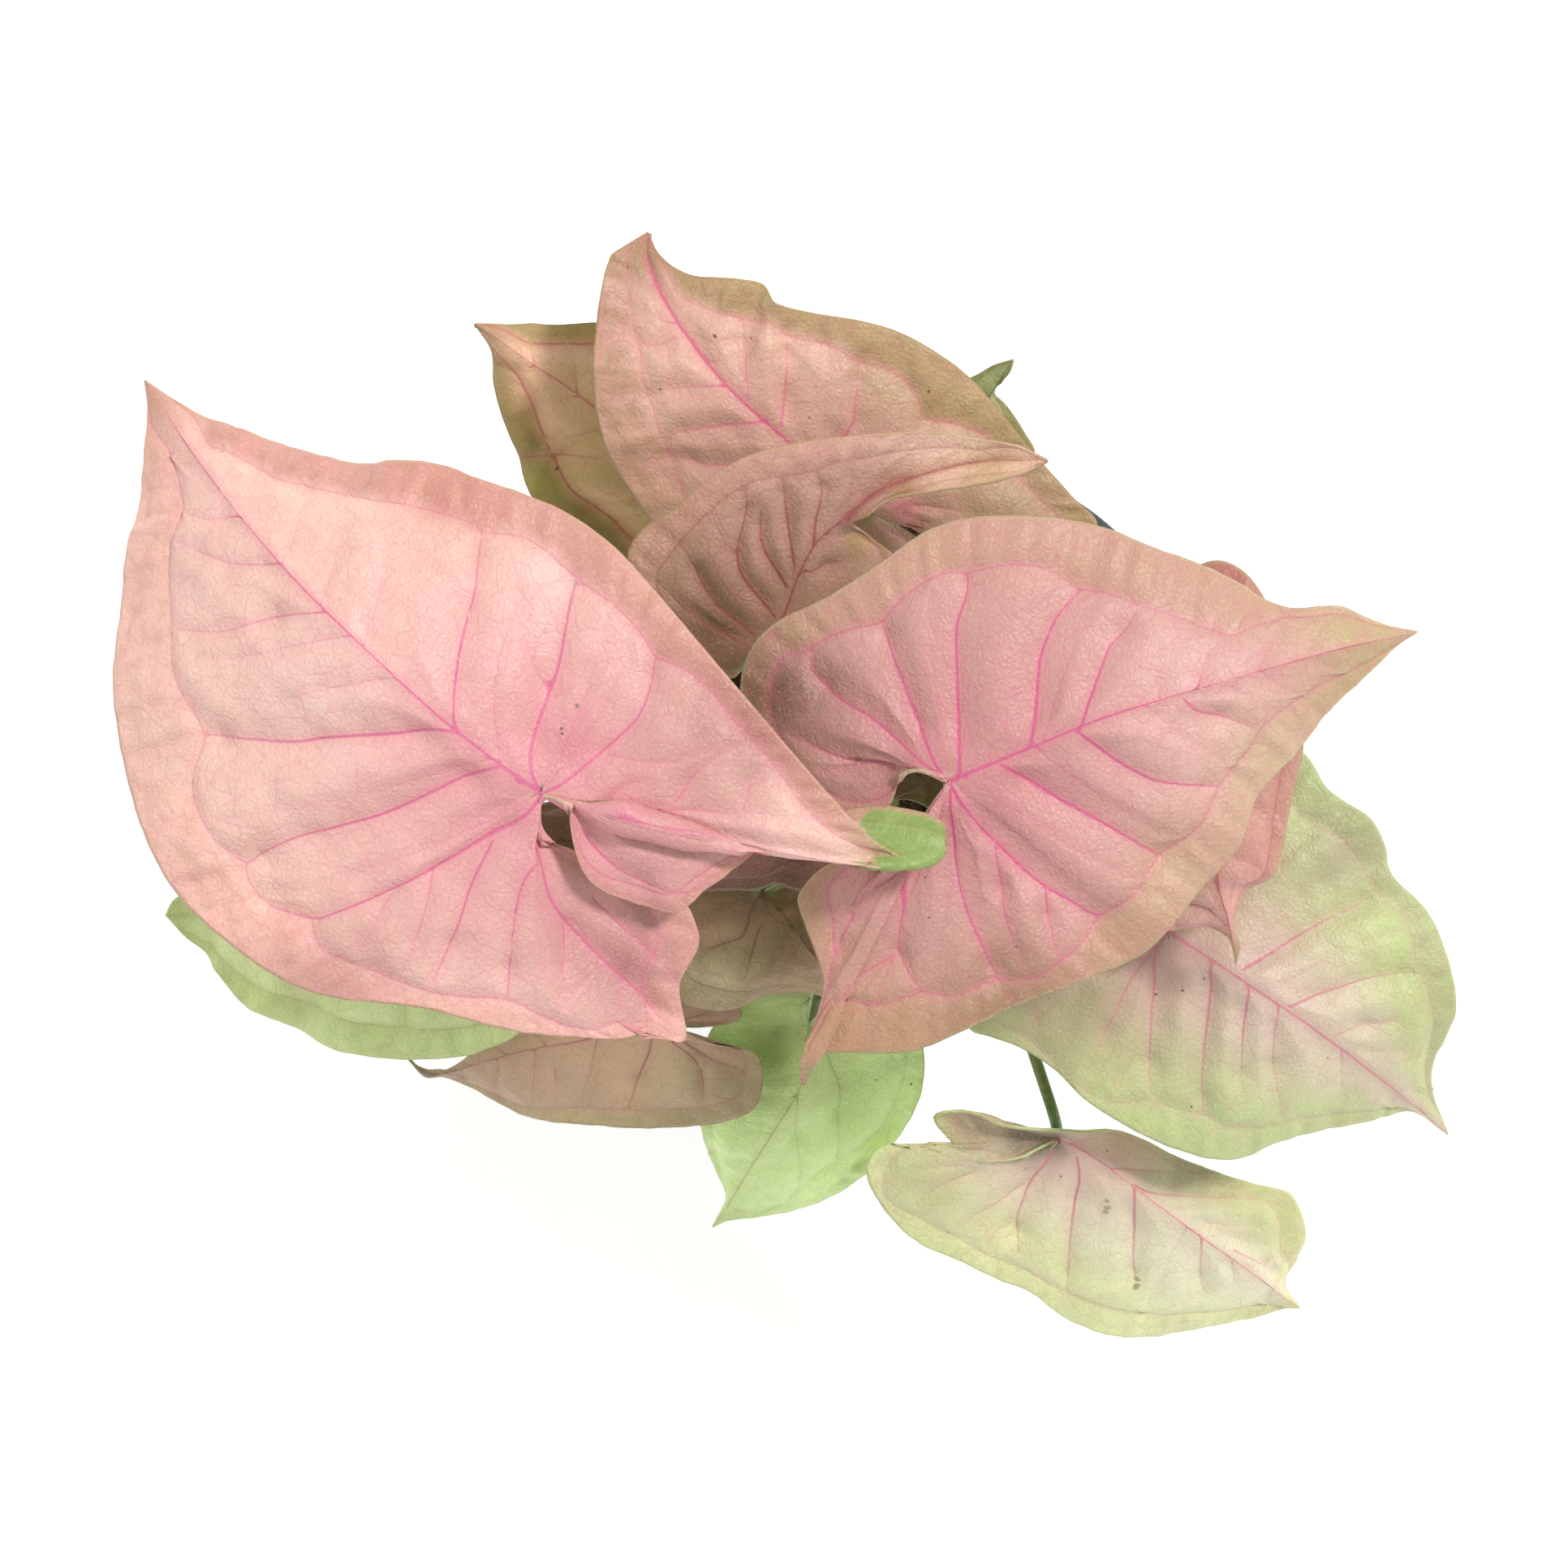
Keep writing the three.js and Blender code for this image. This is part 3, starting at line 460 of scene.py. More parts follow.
# Stems and leaf stalks
# Four short green stems, each grown in one piece with its smooth round stalks. The foot of each stalk
# widens into a sheath that wraps the stem, and its upper end bends over into the blade.
STEM_FOOT = 46
STEM_TOP = 99
STEM_DOME = 4
STEM_STEPS = 70
STEM_SIDES = 40
NODE_HEIGHTS = (5, 12)
NODE_SWELL = 0.6
NODE_WIDTH = 0.9
STALK_RADIUS = 1.25
STALK_TAPER = 0.12
STALK_FLATTENING = 0.12
STALK_START = 88
STALK_RISE = 1.7
STALK_STEPS = 90
STALK_SIDES = 20
SHEATH_RADIUS = 2.1
SHEATH_SHARE = 0.34
SHEATH_FADE = 0.08
APPROACH_BACK = 4.5
APPROACH_DROP = 8
JOINT_DROP = 1.3
SPLINE_STEPS = 40
JOINTS = {
    "leaf_left_large": (667, 978, 231), "leaf_centre_folded": (938, 800, 186),
    "leaf_top_left": (850, 600, 155), "leaf_right_large": (1170, 962, 213),
    "leaf_right_coral": (1478, 890, 186), "leaf_top_right_small": (1150, 600, 150),
    "leaf_top": (1064, 628, 180), "leaf_lower_right": (1440, 1148, 163),
    "leaf_bottom_right": (1305, 1402, 138), "leaf_bottom_green": (996, 1262, 153),
    "leaf_lower_left_brown": (812, 1262, 162), "leaf_left_green": (590, 1130, 172),
    "leaf_centre_brown": (940, 1100, 173), "leaf_centre_deep": (1040, 1010, 190)}
# Each stalk has a leaf and its bend across and along, in mm.
STEM_STALKS = {
    "stem_back_left": [("leaf_left_large", 0, 1.5), ("leaf_centre_folded", 0, 0), ("leaf_top_left", -3, 0)],
    "stem_back_right": [("leaf_right_large", 3, 1), ("leaf_right_coral", 0, 2),
                        ("leaf_top_right_small", 1, 0), ("leaf_top", 0, 0)],
    "stem_front_right": [("leaf_lower_right", 1, 0), ("leaf_bottom_right", -3, 0)],
    "stem_front_left": [("leaf_bottom_green", 2, 0), ("leaf_lower_left_brown", 0, -2),
                        ("leaf_left_green", 0, 0), ("leaf_centre_brown", 0, 0), ("leaf_centre_deep", 0, 0)]}


def place(point):
    scale = (VIEW_HEIGHT - point[2]) / VIEW_FOCAL
    return np.array([VIEW_X + (point[0] - VIEW_CENTRE) * scale, VIEW_Y - (point[1] - VIEW_CENTRE) * scale,
                     point[2]])


def stalk_points(at, leaf, bend_x, bend_y, order):
    joint = place(JOINTS[leaf])
    foot = np.array([at[0], at[1], STALK_START + 2 * order], float)
    back = np.array([foot[0] - joint[0], foot[1] - joint[1], 0.0])
    reach = np.linalg.norm(back)
    approach = joint + back / reach * min(APPROACH_BACK, reach / 2)
    approach[2] -= APPROACH_DROP
    points = []
    for share in (0, 0.2, 0.4, 0.6, 0.8):
        swing = math.sin(math.pi * share)
        rise = 1 - (1 - share) ** STALK_RISE
        points.append([foot[0] + (approach[0] - foot[0]) * share + bend_x * swing,
                       foot[1] + (approach[1] - foot[1]) * share + bend_y * swing,
                       foot[2] + (approach[2] - foot[2]) * rise])
    return np.array([*points, approach, [joint[0], joint[1], joint[2] - JOINT_DROP]])


def run_length(points):
    return np.concatenate([[0], np.cumsum(np.linalg.norm(np.diff(points, axis=0), axis=1))])


def respaced(values, run, count):
    wanted = np.linspace(0, run[-1], count)
    return np.stack([np.interp(wanted, run, column) for column in values.T], axis=1)


def extended(points):
    return np.vstack([2 * points[0] - points[1], points, 2 * points[-1] - points[-2]])


def hermite(start, end, start_slope, end_slope, w):
    return (start + start_slope * w + (-3 * start + 3 * end - 2 * start_slope - end_slope) * w ** 2
            + (2 * start - 2 * end + start_slope + end_slope) * w ** 3)


def spread_spline(points, count):
    full = extended(points)
    w = np.linspace(0, 1, SPLINE_STEPS, endpoint=False)[:, None]
    dense = []
    for i in range(1, len(full) - 2):
        p0, p1, p2, p3 = full[i - 1:i + 3]
        d0, d1, d2 = (max(np.linalg.norm(b - a), 1e-6) ** 0.5 for a, b in ((p0, p1), (p1, p2), (p2, p3)))
        t1 = ((p1 - p0) / d0 - (p2 - p0) / (d0 + d1) + (p2 - p1) / d1) * d1
        t2 = ((p2 - p1) / d1 - (p3 - p1) / (d1 + d2) + (p3 - p2) / d2) * d1
        dense.append(hermite(p1, p2, t1, t2, w))
    dense = np.vstack([*dense, points[-1:]])
    return respaced(dense, run_length(dense), count)


def swept(path, radii, sides, squash, shade):
    along = np.gradient(path, axis=0)
    along /= np.linalg.norm(along, axis=1)[:, None]
    across = np.cross(along[0], [0.0, 0.0, 1.0])
    if np.linalg.norm(across) < 1e-3:
        across = np.array([1.0, 0.0, 0.0])
    vertices, faces = [], []
    for i, spot in enumerate(path):
        across = across - along[i] * (across @ along[i])
        across /= np.linalg.norm(across)
        up = np.cross(across, along[i])
        for k in range(sides):
            side, rise = on_circle(1, 2 * math.pi * k / sides)
            vertices.append(spot + radii[i] * (side * across + squash[i] * rise * up))
    vertices += [path[0] - along[0] * radii[0] * 0.3, path[-1] + along[-1] * radii[-1] * 0.3]
    shades = [*np.repeat(shade, sides), shade[0], shade[-1]]
    last = (len(path) - 1) * sides
    start, stop = last + sides, last + sides + 1
    for ring in range(0, last, sides):
        for k in range(sides):
            n = (k + 1) % sides
            faces.append((ring + k, ring + n, ring + sides + n, ring + sides + k))
    for k in range(sides):
        n = (k + 1) % sides
        faces += [(start, n, k), (stop, last + k, last + n)]
    return vertices, faces, shades


stem_skin, stem_shader = new_material("stem_green")
stem_height = add_node(stem_skin, "ShaderNodeAttribute", attribute_name="height_share").outputs["Fac"]
stem_streaks = object_noise(stem_skin, 900.0, 4.0, 0.5, 0.12)
stem_tone = blend(stem_skin, ramp(stem_skin, stem_height, 0.0, 1.0), srgb(116, 142, 76), srgb(80, 118, 46))
stem_light = ramp(stem_skin, stem_streaks, 0.42, 0.66, 0.0, 0.45)
stem_tone = blend(stem_skin, stem_light, stem_tone, srgb(128, 150, 84))
stem_blush = ramp(stem_skin, object_noise(stem_skin, 90.0, 4.0), 0.5, 0.72, 0.0, 0.5)
stem_tone = blend(stem_skin, stem_blush, stem_tone, srgb(150, 118, 84))
plug(stem_skin, stem_tone, stem_shader.inputs["Base Color"])
stem_shader.inputs["Roughness"].default_value = 0.38
roughen(stem_skin, stem_shader, 0.3, 0.0003, stem_streaks)

for (stem_name, stalks), at in zip(STEM_STALKS.items(), STEM_PLACES):
    heights = np.linspace(STEM_FOOT, STEM_TOP, STEM_STEPS)
    widths = np.full(STEM_STEPS, float(STEM_RADIUS))
    for height in NODE_HEIGHTS:
        widths += NODE_SWELL * np.exp(-((heights - (SOIL_LEVEL + height)) / NODE_WIDTH) ** 2)
    into_dome = (heights - STEM_TOP + STEM_DOME) / (1.1 * STEM_DOME)
    widths *= np.sqrt(np.clip(1 - into_dome.clip(0) ** 2, 0.01, 1))
    core = np.column_stack([np.full((STEM_STEPS, 2), at, float), heights])
    tubes = [swept(core, widths, STEM_SIDES, np.ones(STEM_STEPS), np.zeros(STEM_STEPS))]
    share = np.linspace(0, 1, STALK_STEPS)
    widths = STALK_RADIUS * (1.04 - STALK_TAPER * share)
    widths += (SHEATH_RADIUS - STALK_RADIUS) * np.clip((SHEATH_SHARE - share) / SHEATH_FADE, 0, 1)
    squash = 1 - STALK_FLATTENING * np.clip(share * 3 - 1, 0, 1)
    for order, (leaf, bend_x, bend_y) in enumerate(stalks):
        path = spread_spline(stalk_points(at, leaf, bend_x, bend_y, order), STALK_STEPS)
        tubes.append(swept(path, widths, STALK_SIDES, squash, share))
    vertices, faces, shades = [], [], []
    for tube_vertices, tube_faces, tube_shades in tubes:
        first = len(vertices)
        vertices += [v / 1000 for v in tube_vertices]
        faces += [tuple(first + i for i in face) for face in tube_faces]
        shades += tube_shades
    stem = new_piece(stem_name + "_grown", vertices, faces, stem_skin)
    attribute = stem.data.attributes.new("height_share", "FLOAT", "POINT")
    attribute.data.foreach_set("value", [float(s) for s in shades])
    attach(stem, "root")
    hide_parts(stem_name)

# Largest leaf, on the left
# A broad arrow-shaped blade, thin and satin, pink all over with magenta veins in shallow furrows. Its
# back lobe folds under itself in a wide curl. Like every blade it grows out of the end of its stalk.
BLADE_THICKNESS = 0.42
BLADE_ARCH = 0.045
VEIN_SLANT = 0.6
TIP_CROWDING = 1.35
LOBE_STRETCH = 1.25
RIB_SAMPLES = 60
RIB_SPACING = 0.25
RIB_FURROW = 0.46
RIB_STEPS = 200
LINE_SPACING = 2.0
VEIN_SPACING = 0.3
UNDER_CLEARANCE = 0.55
UNDER_RIDGE = 0.5
STRONG_VEIN = 0.5
WAVES = [(24.0, 0.2), (11.0, 0.12), (5.0, 0.05)]
DRIFT_SIZES = (26.0, 13.0, 7.0)
FLECK_SIZES = (8.0, 4.6, 2.9)
FAR = 30.0
FULL_TURN = 6.28
LINE_SAMPLES = 20
LOBE_SAMPLES = 400
USUAL_REACH = 0.8
NEAR_COUNT = 14
NEAR_REACH = 4.5
SAME_LAYER = 1.5
MOST_SHIFT = 0.8
RING_STEP = 3
RING_FADE = 14
RING_SMOOTHING = 9
RING_LIMITS = (0.3, 0.985)
FILLER_STEPS = 60
FILLER_LEAN = 0.02
FILLER_PROBES = [25, 40]
FILLER_GAP = 0.42
CREASE_BORDER = 0.6
CREASE_POWER = 0.2
CREASE_CORNER = 0.06
PLEAT_SIZES = (6.3, 3.7)
PLEAT_DRIFT = 17
MARK_SEARCH = 12
WARP = 0.0016
WARP_SHIFT = 0.0008
NOTCH_COLOUR = (200, 210, 168)
# A point of the margin may be followed by the point that its side vein arches over. Reaches of calm,
# flaps and patches are in view units. Cell, spacing, furrow, depth, pleat and the other reaches are
# in mm. Calm smooths the relief, flaps are folds that show the underside, and marks
# are small scars.
PLAIN_LEAF = {
    "calm": [], "flaps": [], "collective": [], "veins": [], "marks": [], "patches": [],
    "cell": 0.8, "spacing": 9, "band_share": 0.84, "lateral": 0.85, "filler": 0.3, "ring_power": 0.42,
    "rib_power": 0.9, "vein_reach": 30, "halo_width": 2.0, "inner_share": 0.3, "depth": 2.74,
    "pleat": 0.22, "heart_reach": 16, "tip_reach": 9}


# A smooth curve through the points, read by its share from 0 to 1
def curve(points):
    points = np.array(points, float)
    full = extended(points)

    def at(share):
        x = np.clip(np.asarray(share, float), 0, 1) * (len(points) - 1)
        i = np.minimum(x.astype(int), len(points) - 2)
        p0, p1, p2, p3 = full[i], full[i + 1], full[i + 2], full[i + 3]
        return hermite(p1, p2, 0.5 * (p2 - p0), 0.5 * (p3 - p1), (x - i)[..., None])
    return at


# The margin of one side, and the middle and root of the side vein to each of its points
def side_curves(rib, rib_length, margin, tip):
    ends = np.array([place(point[:3]) for point in margin] + [tip])
    samples = rib(np.linspace(0, 1, RIB_SAMPLES + 1))
    roots = []
    for end in ends:
        distance = np.linalg.norm(samples - end, axis=1)
        closest = distance.argmin()
        roots.append(max(0, closest / RIB_SAMPLES - VEIN_SLANT * distance[closest] / rib_length))
    roots[-1] = 1
    roots = np.maximum.accumulate(roots)
    middles = []
    for i, end in enumerate(ends):
        if i < len(margin) and len(margin[i]) > 3:
            middles.append(place(margin[i][3:]))
            continue
        root = rib(roots[i])
        middle = (root + end) / 2
        middle[2] += BLADE_ARCH * np.linalg.norm(root - end)
        middles.append(middle)
    return curve(ends), curve(middles), roots


# One side of the blade as a grid, in columns along the side veins from midrib to margin
def side_grid(rib, rib_length, margin, tip, cell):
    ends, middles, roots = side_curves(rib, rib_length, margin, tip)
    body = 2 * max(12, round(rib_length / cell / 2))
    shares = 1 - (1 - np.arange(1, body) / body) ** TIP_CROWDING
    body_places = np.interp(shares, roots + np.arange(len(roots)) * 1e-9, np.linspace(0, 1, len(roots)))
    dense = np.linspace(0, body_places[0], LOBE_SAMPLES)
    run = run_length(ends(dense))
    lobe = 2 * max(6, round(run[-1] / cell / 2 / LOBE_STRETCH)) - 1
    lobe_places = np.interp(run[-1] * np.arange(lobe) / lobe, run, dense)
    places = np.concatenate([lobe_places, body_places])
    starts = np.concatenate([np.zeros(lobe), shares])
    spine = np.concatenate([np.zeros(lobe, int), np.arange(1, body + 1)])
    root, middle, end = rib(starts), middles(places), ends(places)
    reach = np.linalg.norm(middle - root, axis=1) + np.linalg.norm(end - middle, axis=1)
    rows = 2 * max(6, round(np.quantile(reach, USUAL_REACH) / cell / 2))
    t = (np.arange(rows + 1) / rows)[None, :, None]
    grid = (root[:, None] * (1 - t) * (1 - 2 * t) + middle[:, None] * 4 * t * (1 - t)
            + end[:, None] * t * (2 * t - 1))
    return np.concatenate([grid, np.broadcast_to(tip, (1, rows + 1, 3))]), spine


# Places on a grid at column u and row v, which may lie between its points
def on_grid(grid, u, v):
    columns, rows = grid.shape[0] - 1, grid.shape[1] - 1
    u, v = np.clip(u, 0, columns), np.clip(v, 0, rows)
    i, j = np.minimum(u.astype(int), columns - 1), np.minimum(v.astype(int), rows - 1)
    a, b = (u - i)[:, None], (v - j)[:, None]
    return ((grid[i, j] * (1 - a) + grid[i + 1, j] * a) * (1 - b)
            + (grid[i, j + 1] * (1 - a) + grid[i + 1, j + 1] * a) * b)


def to_view(points):
    scale = VIEW_FOCAL / (VIEW_HEIGHT - points[..., 2])
    return np.stack([(points[..., 0] - VIEW_X) * scale + VIEW_CENTRE,
                     VIEW_CENTRE - (points[..., 1] - VIEW_Y) * scale], axis=-1)


def view_distance(points, across, down):
    seen = to_view(points)
    return np.hypot(seen[:, 0] - across, seen[:, 1] - down)


def even_line(points):
    line = np.array(points, float)
    if len(line) > 2:
        line = curve(line)(np.linspace(0, 1, LINE_SAMPLES * len(line)))
    run = run_length(line)
    return respaced(line, run, max(3, int(run[-1] / LINE_SPACING)))


def view_tree(grids):
    tree = kdtree.KDTree(sum(grid.shape[0] * grid.shape[1] for grid in grids))
    owners = []
    for side, grid in enumerate(grids):
        flat = to_view(grid)
        for i, j in np.ndindex(grid.shape[:2]):
            tree.insert((flat[i, j, 0], flat[i, j, 1], 0.0), len(owners))
            owners.append((side, i, j, grid[i, j, 2]))
    tree.balance()
    return tree, owners


# Finds where a line traced on the view lies on the uppermost layer
def lifted(line, tree, owners, grids):
    found = []
    for x, y in line:
        near = tree.find_n((x, y, 0.0), NEAR_COUNT)
        limit = near[0][2] + NEAR_REACH
        options = [(owners[index], distance) for _, index, distance in near if distance < limit]
        top = max(owner[3] for owner, _ in options)
        (side, i, j, _), _ = min((o for o in options if o[0][3] > top - SAME_LAYER), key=lambda o: o[1])
        grid = grids[side]
        columns, rows = grid.shape[0] - 1, grid.shape[1] - 1
        left, right, low, high = max(i - 1, 0), min(i + 1, columns), max(j - 1, 0), min(j + 1, rows)
        west, east, south, north, here = to_view(
            np.stack([grid[left, j], grid[right, j], grid[i, low], grid[i, high], grid[i, j]]))
        du, dv = (east - west) / (right - left), (north - south) / (high - low)
        area = du[0] * dv[1] - du[1] * dv[0]
        dx, dy = x - here[0], y - here[1]
        u = v = 0.0
        if abs(area) > 1e-3:
            u = min(max((dx * dv[1] - dy * dv[0]) / area, -MOST_SHIFT), MOST_SHIFT)
            v = min(max((dy * du[0] - dx * du[1]) / area, -MOST_SHIFT), MOST_SHIFT)
        found.append((side, min(max(i + u, 0), columns), min(max(j + v, 0), rows)))
    return np.array(found)


def soft_step(value, low, high):
    t = np.clip((value - low) / (high - low), 0, 1)
    return t * t * (3 - 2 * t)


def bell(distance, reach):
    return np.exp(-(distance / reach) ** 2)


def nearest(points, line_points, values):
    tree = kdtree.KDTree(len(line_points))
    for index, point in enumerate(line_points):
        tree.insert(point, index)
    tree.balance()
    distance = np.empty(len(points))
    owner = np.empty(len(points), int)
    for k, point in enumerate(points):
        _, owner[k], distance[k] = tree.find(point)
    return distance, values[owner]


# The row of the collective vein in each column, as traced or at a plain share
def collective_rows(grid, traced, share):
    columns, rows = grid.shape[0] - 1, grid.shape[1] - 1
    level = np.full(columns + 1, share * rows)
    if len(traced):
        order = np.argsort(traced[:, 1])
        u, v = traced[order, 1], traced[order, 2]
        marks, means = [], []
        for left in np.arange(u[0], u[-1] + RING_STEP, RING_STEP):
            chosen = (u >= left) & (u < left + RING_STEP)
            if chosen.any():
                marks.append(u[chosen].mean())
                means.append(v[chosen].mean())
        marks = [marks[0] - RING_FADE, *marks, marks[-1] + RING_FADE]
        means = [share * rows, *means, share * rows]
        level = np.interp(np.arange(columns + 1), marks, means)
    kernel = np.hanning(RING_SMOOTHING)
    padded = np.pad(level, RING_SMOOTHING // 2, mode="edge")
    inmost, outmost = RING_LIMITS
    return np.clip(np.convolve(padded, kernel / kernel.sum(), mode="valid"), inmost * rows, outmost * rows)


# Thin side veins at even spacing, left out where a traced one runs
def filler_veins(grid, level, traced_points, spacing, power):
    columns = np.arange(grid.shape[0])
    run = run_length(grid[:, -1])
    t = np.linspace(0.02, 1, FILLER_STEPS)
    fading = power * (1 - 0.5 * np.linspace(0, 1, len(t)))
    veins = []
    for mark in np.arange(spacing * 0.6, run[-1] * 0.93, spacing):
        column = np.interp(mark, run, columns)
        v = t * np.interp(column, columns, level)
        u = column + FILLER_LEAN * columns[-1] * (t ** 2 - 0.4)
        if len(traced_points):
            probe = on_grid(grid, u, v)[FILLER_PROBES]
            gap = np.linalg.norm(traced_points[None] - probe[:, None], axis=2).min()
            if gap < spacing * FILLER_GAP:
                continue
        veins.append(np.column_stack([u, v, fading]))
    return veins


# All veins of each side as dense points, given by column, row and strength
def vein_samples(leaf, grids):
    tree, owners = view_tree(grids)
    traced = [[np.zeros((0, 3))], [np.zeros((0, 3))]]
    for power, points in leaf["veins"]:
        found = lifted(even_line(points), tree, owners, grids)
        taper = power * (1 - 0.45 * np.linspace(0, 1, len(found)) ** 1.5)
        for side in (0, 1):
            chosen = found[:, 0] == side
            traced[side].append(np.column_stack([found[chosen, 1:], taper[chosen]]))
    rings = [np.zeros((0, 3)), np.zeros((0, 3))]
    for points in leaf["collective"]:
        found = lifted(even_line(points), tree, owners, grids)
        for side in (0, 1):
            rings[side] = np.vstack([rings[side], found[found[:, 0] == side]])
    levels, samples = [], []
    for side, grid in enumerate(grids):
        level = collective_rows(grid, rings[side], leaf["band_share"])
        levels.append(level)
        known = np.vstack(traced[side])
        known_points = on_grid(grid, known[:, 0], known[:, 1]) if len(known) else known
        pieces = [known, *filler_veins(grid, level, known_points, leaf["spacing"], leaf["filler"])]
        along = np.arange(1, grid.shape[0] - 1, 0.5)
        ring = np.interp(along, np.arange(grid.shape[0]), level)
        pieces.append(np.column_stack([along, ring, np.full(len(along), leaf["ring_power"])]))
        dense = []
        for piece in pieces:
            if len(piece) > 1:
                run = run_length(on_grid(grid, piece[:, 0], piece[:, 1]))
                if run[-1] > 0.5 and np.diff(run).max() < 4.0:
                    piece = respaced(piece, run, max(2, int(run[-1] / VEIN_SPACING)))
            dense.append(piece)
        samples.append(np.vstack(dense))
    return samples, levels


# Moves the grid points beside a vein onto it, for a clean crease
def snapped(grid, samples, calm):
    columns, rows = grid.shape[0] - 1, grid.shape[1] - 1
    u, v = samples[:, 0], samples[:, 1]
    inner = (v > CREASE_BORDER) & (v < rows - CREASE_BORDER) & (samples[:, 2] > CREASE_POWER)
    inner &= (u > CREASE_BORDER) & (u < columns - CREASE_BORDER)
    for across, down, reach in calm:
        inner &= view_distance(on_grid(grid, u, v), across, down) > reach
    u, v = u[inner], v[inner]
    i, j = np.rint(u).astype(int), np.rint(v).astype(int)
    gap = (u - i) ** 2 + (v - j) ** 2
    order = np.argsort(-gap)
    held = np.zeros(grid.shape[:2], bool)
    held[i, j] = True
    nearest_gap = np.full(grid.shape[:2], 9.0)
    nearest_gap[i[order], j[order]] = gap[order]
    spots = grid.copy()
    spots[i[order], j[order]] = on_grid(grid, u[order], v[order])
    corners = np.argwhere(held & (nearest_gap > CREASE_CORNER))
    corners = corners[np.argsort(-nearest_gap[corners[:, 0], corners[:, 1]])]
    for a, b in corners:
        if (held[a - 1, b] or held[a + 1, b]) and (held[a, b - 1] or held[a, b + 1]):
            held[a, b] = False
    moved = grid.copy()
    moved[held] = spots[held]
    return moved, held


def surface_faces(index, held, flip):
    faces = []
    for i, k in np.ndindex(index.shape[0] - 1, index.shape[1] - 1):
        a, b, c, d = index[i, k], index[i + 1, k], index[i + 1, k + 1], index[i, k + 1]
        pair = ((a, b, c), (a, c, d))
        if held[i + 1, k] and held[i, k + 1] and not (held[i, k] and held[i + 1, k + 1]):
            pair = ((a, b, d), (b, c, d))
        for x, y, z in pair:
            if x != y and y != z and x != z:
                faces.append((x, z, y) if flip else (x, y, z))
    return faces


def edge_chain(index, flip):
    chain = list(index[::-1, -1]) + list(index[0, ::-1])[1:]
    return chain[::-1] if flip else chain


def normals_of(points, faces):
    faces = np.array(faces)
    a, b, c = points[faces[:, 0]], points[faces[:, 1]], points[faces[:, 2]]
    face_normals = np.cross(b - a, c - a)
    normals = np.zeros_like(points)
    for corner in range(3):
        np.add.at(normals, faces[:, corner], face_normals)
    return normals / np.maximum(np.linalg.norm(normals, axis=1), 1e-12)[:, None]


def pleats(margin_run, share, seed):
    a, b, c = np.random.default_rng(seed).uniform(0, FULL_TURN, 3)
    broad, fine = PLEAT_SIZES
    wave = (np.sin(2 * math.pi * margin_run / broad + a + 1.3 * np.sin(margin_run / PLEAT_DRIFT + b))
            + 0.5 * np.sin(2 * math.pi * margin_run / fine + c))
    return wave * share


# One face of the blade, both sides joined at the midrib, with measures of each point
def sheet(leaf, grids, spines, samples, levels, step):
    body = spines[0][-1] // step
    points = [None] * (body + 1)
    on_rib = {"edge": FAR, "band": -FAR, "side": 2.0, "run": 0.0, "row": 0.0}
    data = {key: [np.full(body + 1, value)] for key, value in on_rib.items()}
    faces, chains, counts = [], [], []
    for side, grid in enumerate(grids):
        shown, held = grid, np.zeros(grid.shape[:2], bool)
        if step == 1:
            shown, held = snapped(grid, samples[side], leaf["calm"])
        cut = shown[::step, ::step]
        spine = spines[side][::step] // step
        inner_shape = (cut.shape[0] - 1, cut.shape[1] - 1)
        index = np.empty(cut.shape[:2], int)
        index[:-1, 1:] = len(points) + np.arange(inner_shape[0] * inner_shape[1]).reshape(inner_shape)
        index[:, 0] = spine
        index[-1, :] = spine[-1]
        for i, number in enumerate(spine):
            points[number] = cut[i, 0]
        points += list(cut[:-1, 1:].reshape(-1, 3))
        rows = grid.shape[1] - 1
        margin = grid[::step, -1]
        run = run_length(grid[:, -1])[::step]
        row = np.arange(0, rows + 1, step)
        length = np.linalg.norm(margin - grid[::step, 0], axis=1) / rows
        to_margin = np.linalg.norm(cut - margin[:, None], axis=2)
        to_notch = np.linalg.norm(cut - cut[0][None], axis=2)
        fields = {
            "edge": np.minimum(to_margin, to_notch),
            "band": (row[None] - levels[side][::step, None]) * length[:, None],
            "side": np.full(cut.shape[:2], side), "run": np.broadcast_to(run[:, None], cut.shape[:2]),
            "row": np.broadcast_to((row / rows)[None], cut.shape[:2])}
        for key, field in fields.items():
            data[key].append(field[:-1, 1:].ravel())
        counts.append(inner_shape[0] * inner_shape[1])
        faces += surface_faces(index, held, side == 1)
        chains.append(edge_chain(index, side == 1))
    data = {key: np.concatenate(blocks) for key, blocks in data.items()}
    data["edge"][body] = 0.0
    return np.array(points), faces, chains[0][:-1] + chains[1], data, counts


def furrow_shape(distance, reach):
    return 0.68 * bell(distance, reach) + 0.32 * np.exp(-distance / 2.2)


def vein_gap(distance, strength):
    return distance - (0.09 + 0.29 * strength ** 1.6)


def soft_wave(points, random, size, count):
    turn = random.normal(size=(count, 3))
    turn /= np.linalg.norm(turn, axis=1)[:, None]
    phase = random.uniform(0, FULL_TURN, count)
    return np.prod(np.sin(points @ turn.T * 2 * math.pi / size + phase), axis=1)


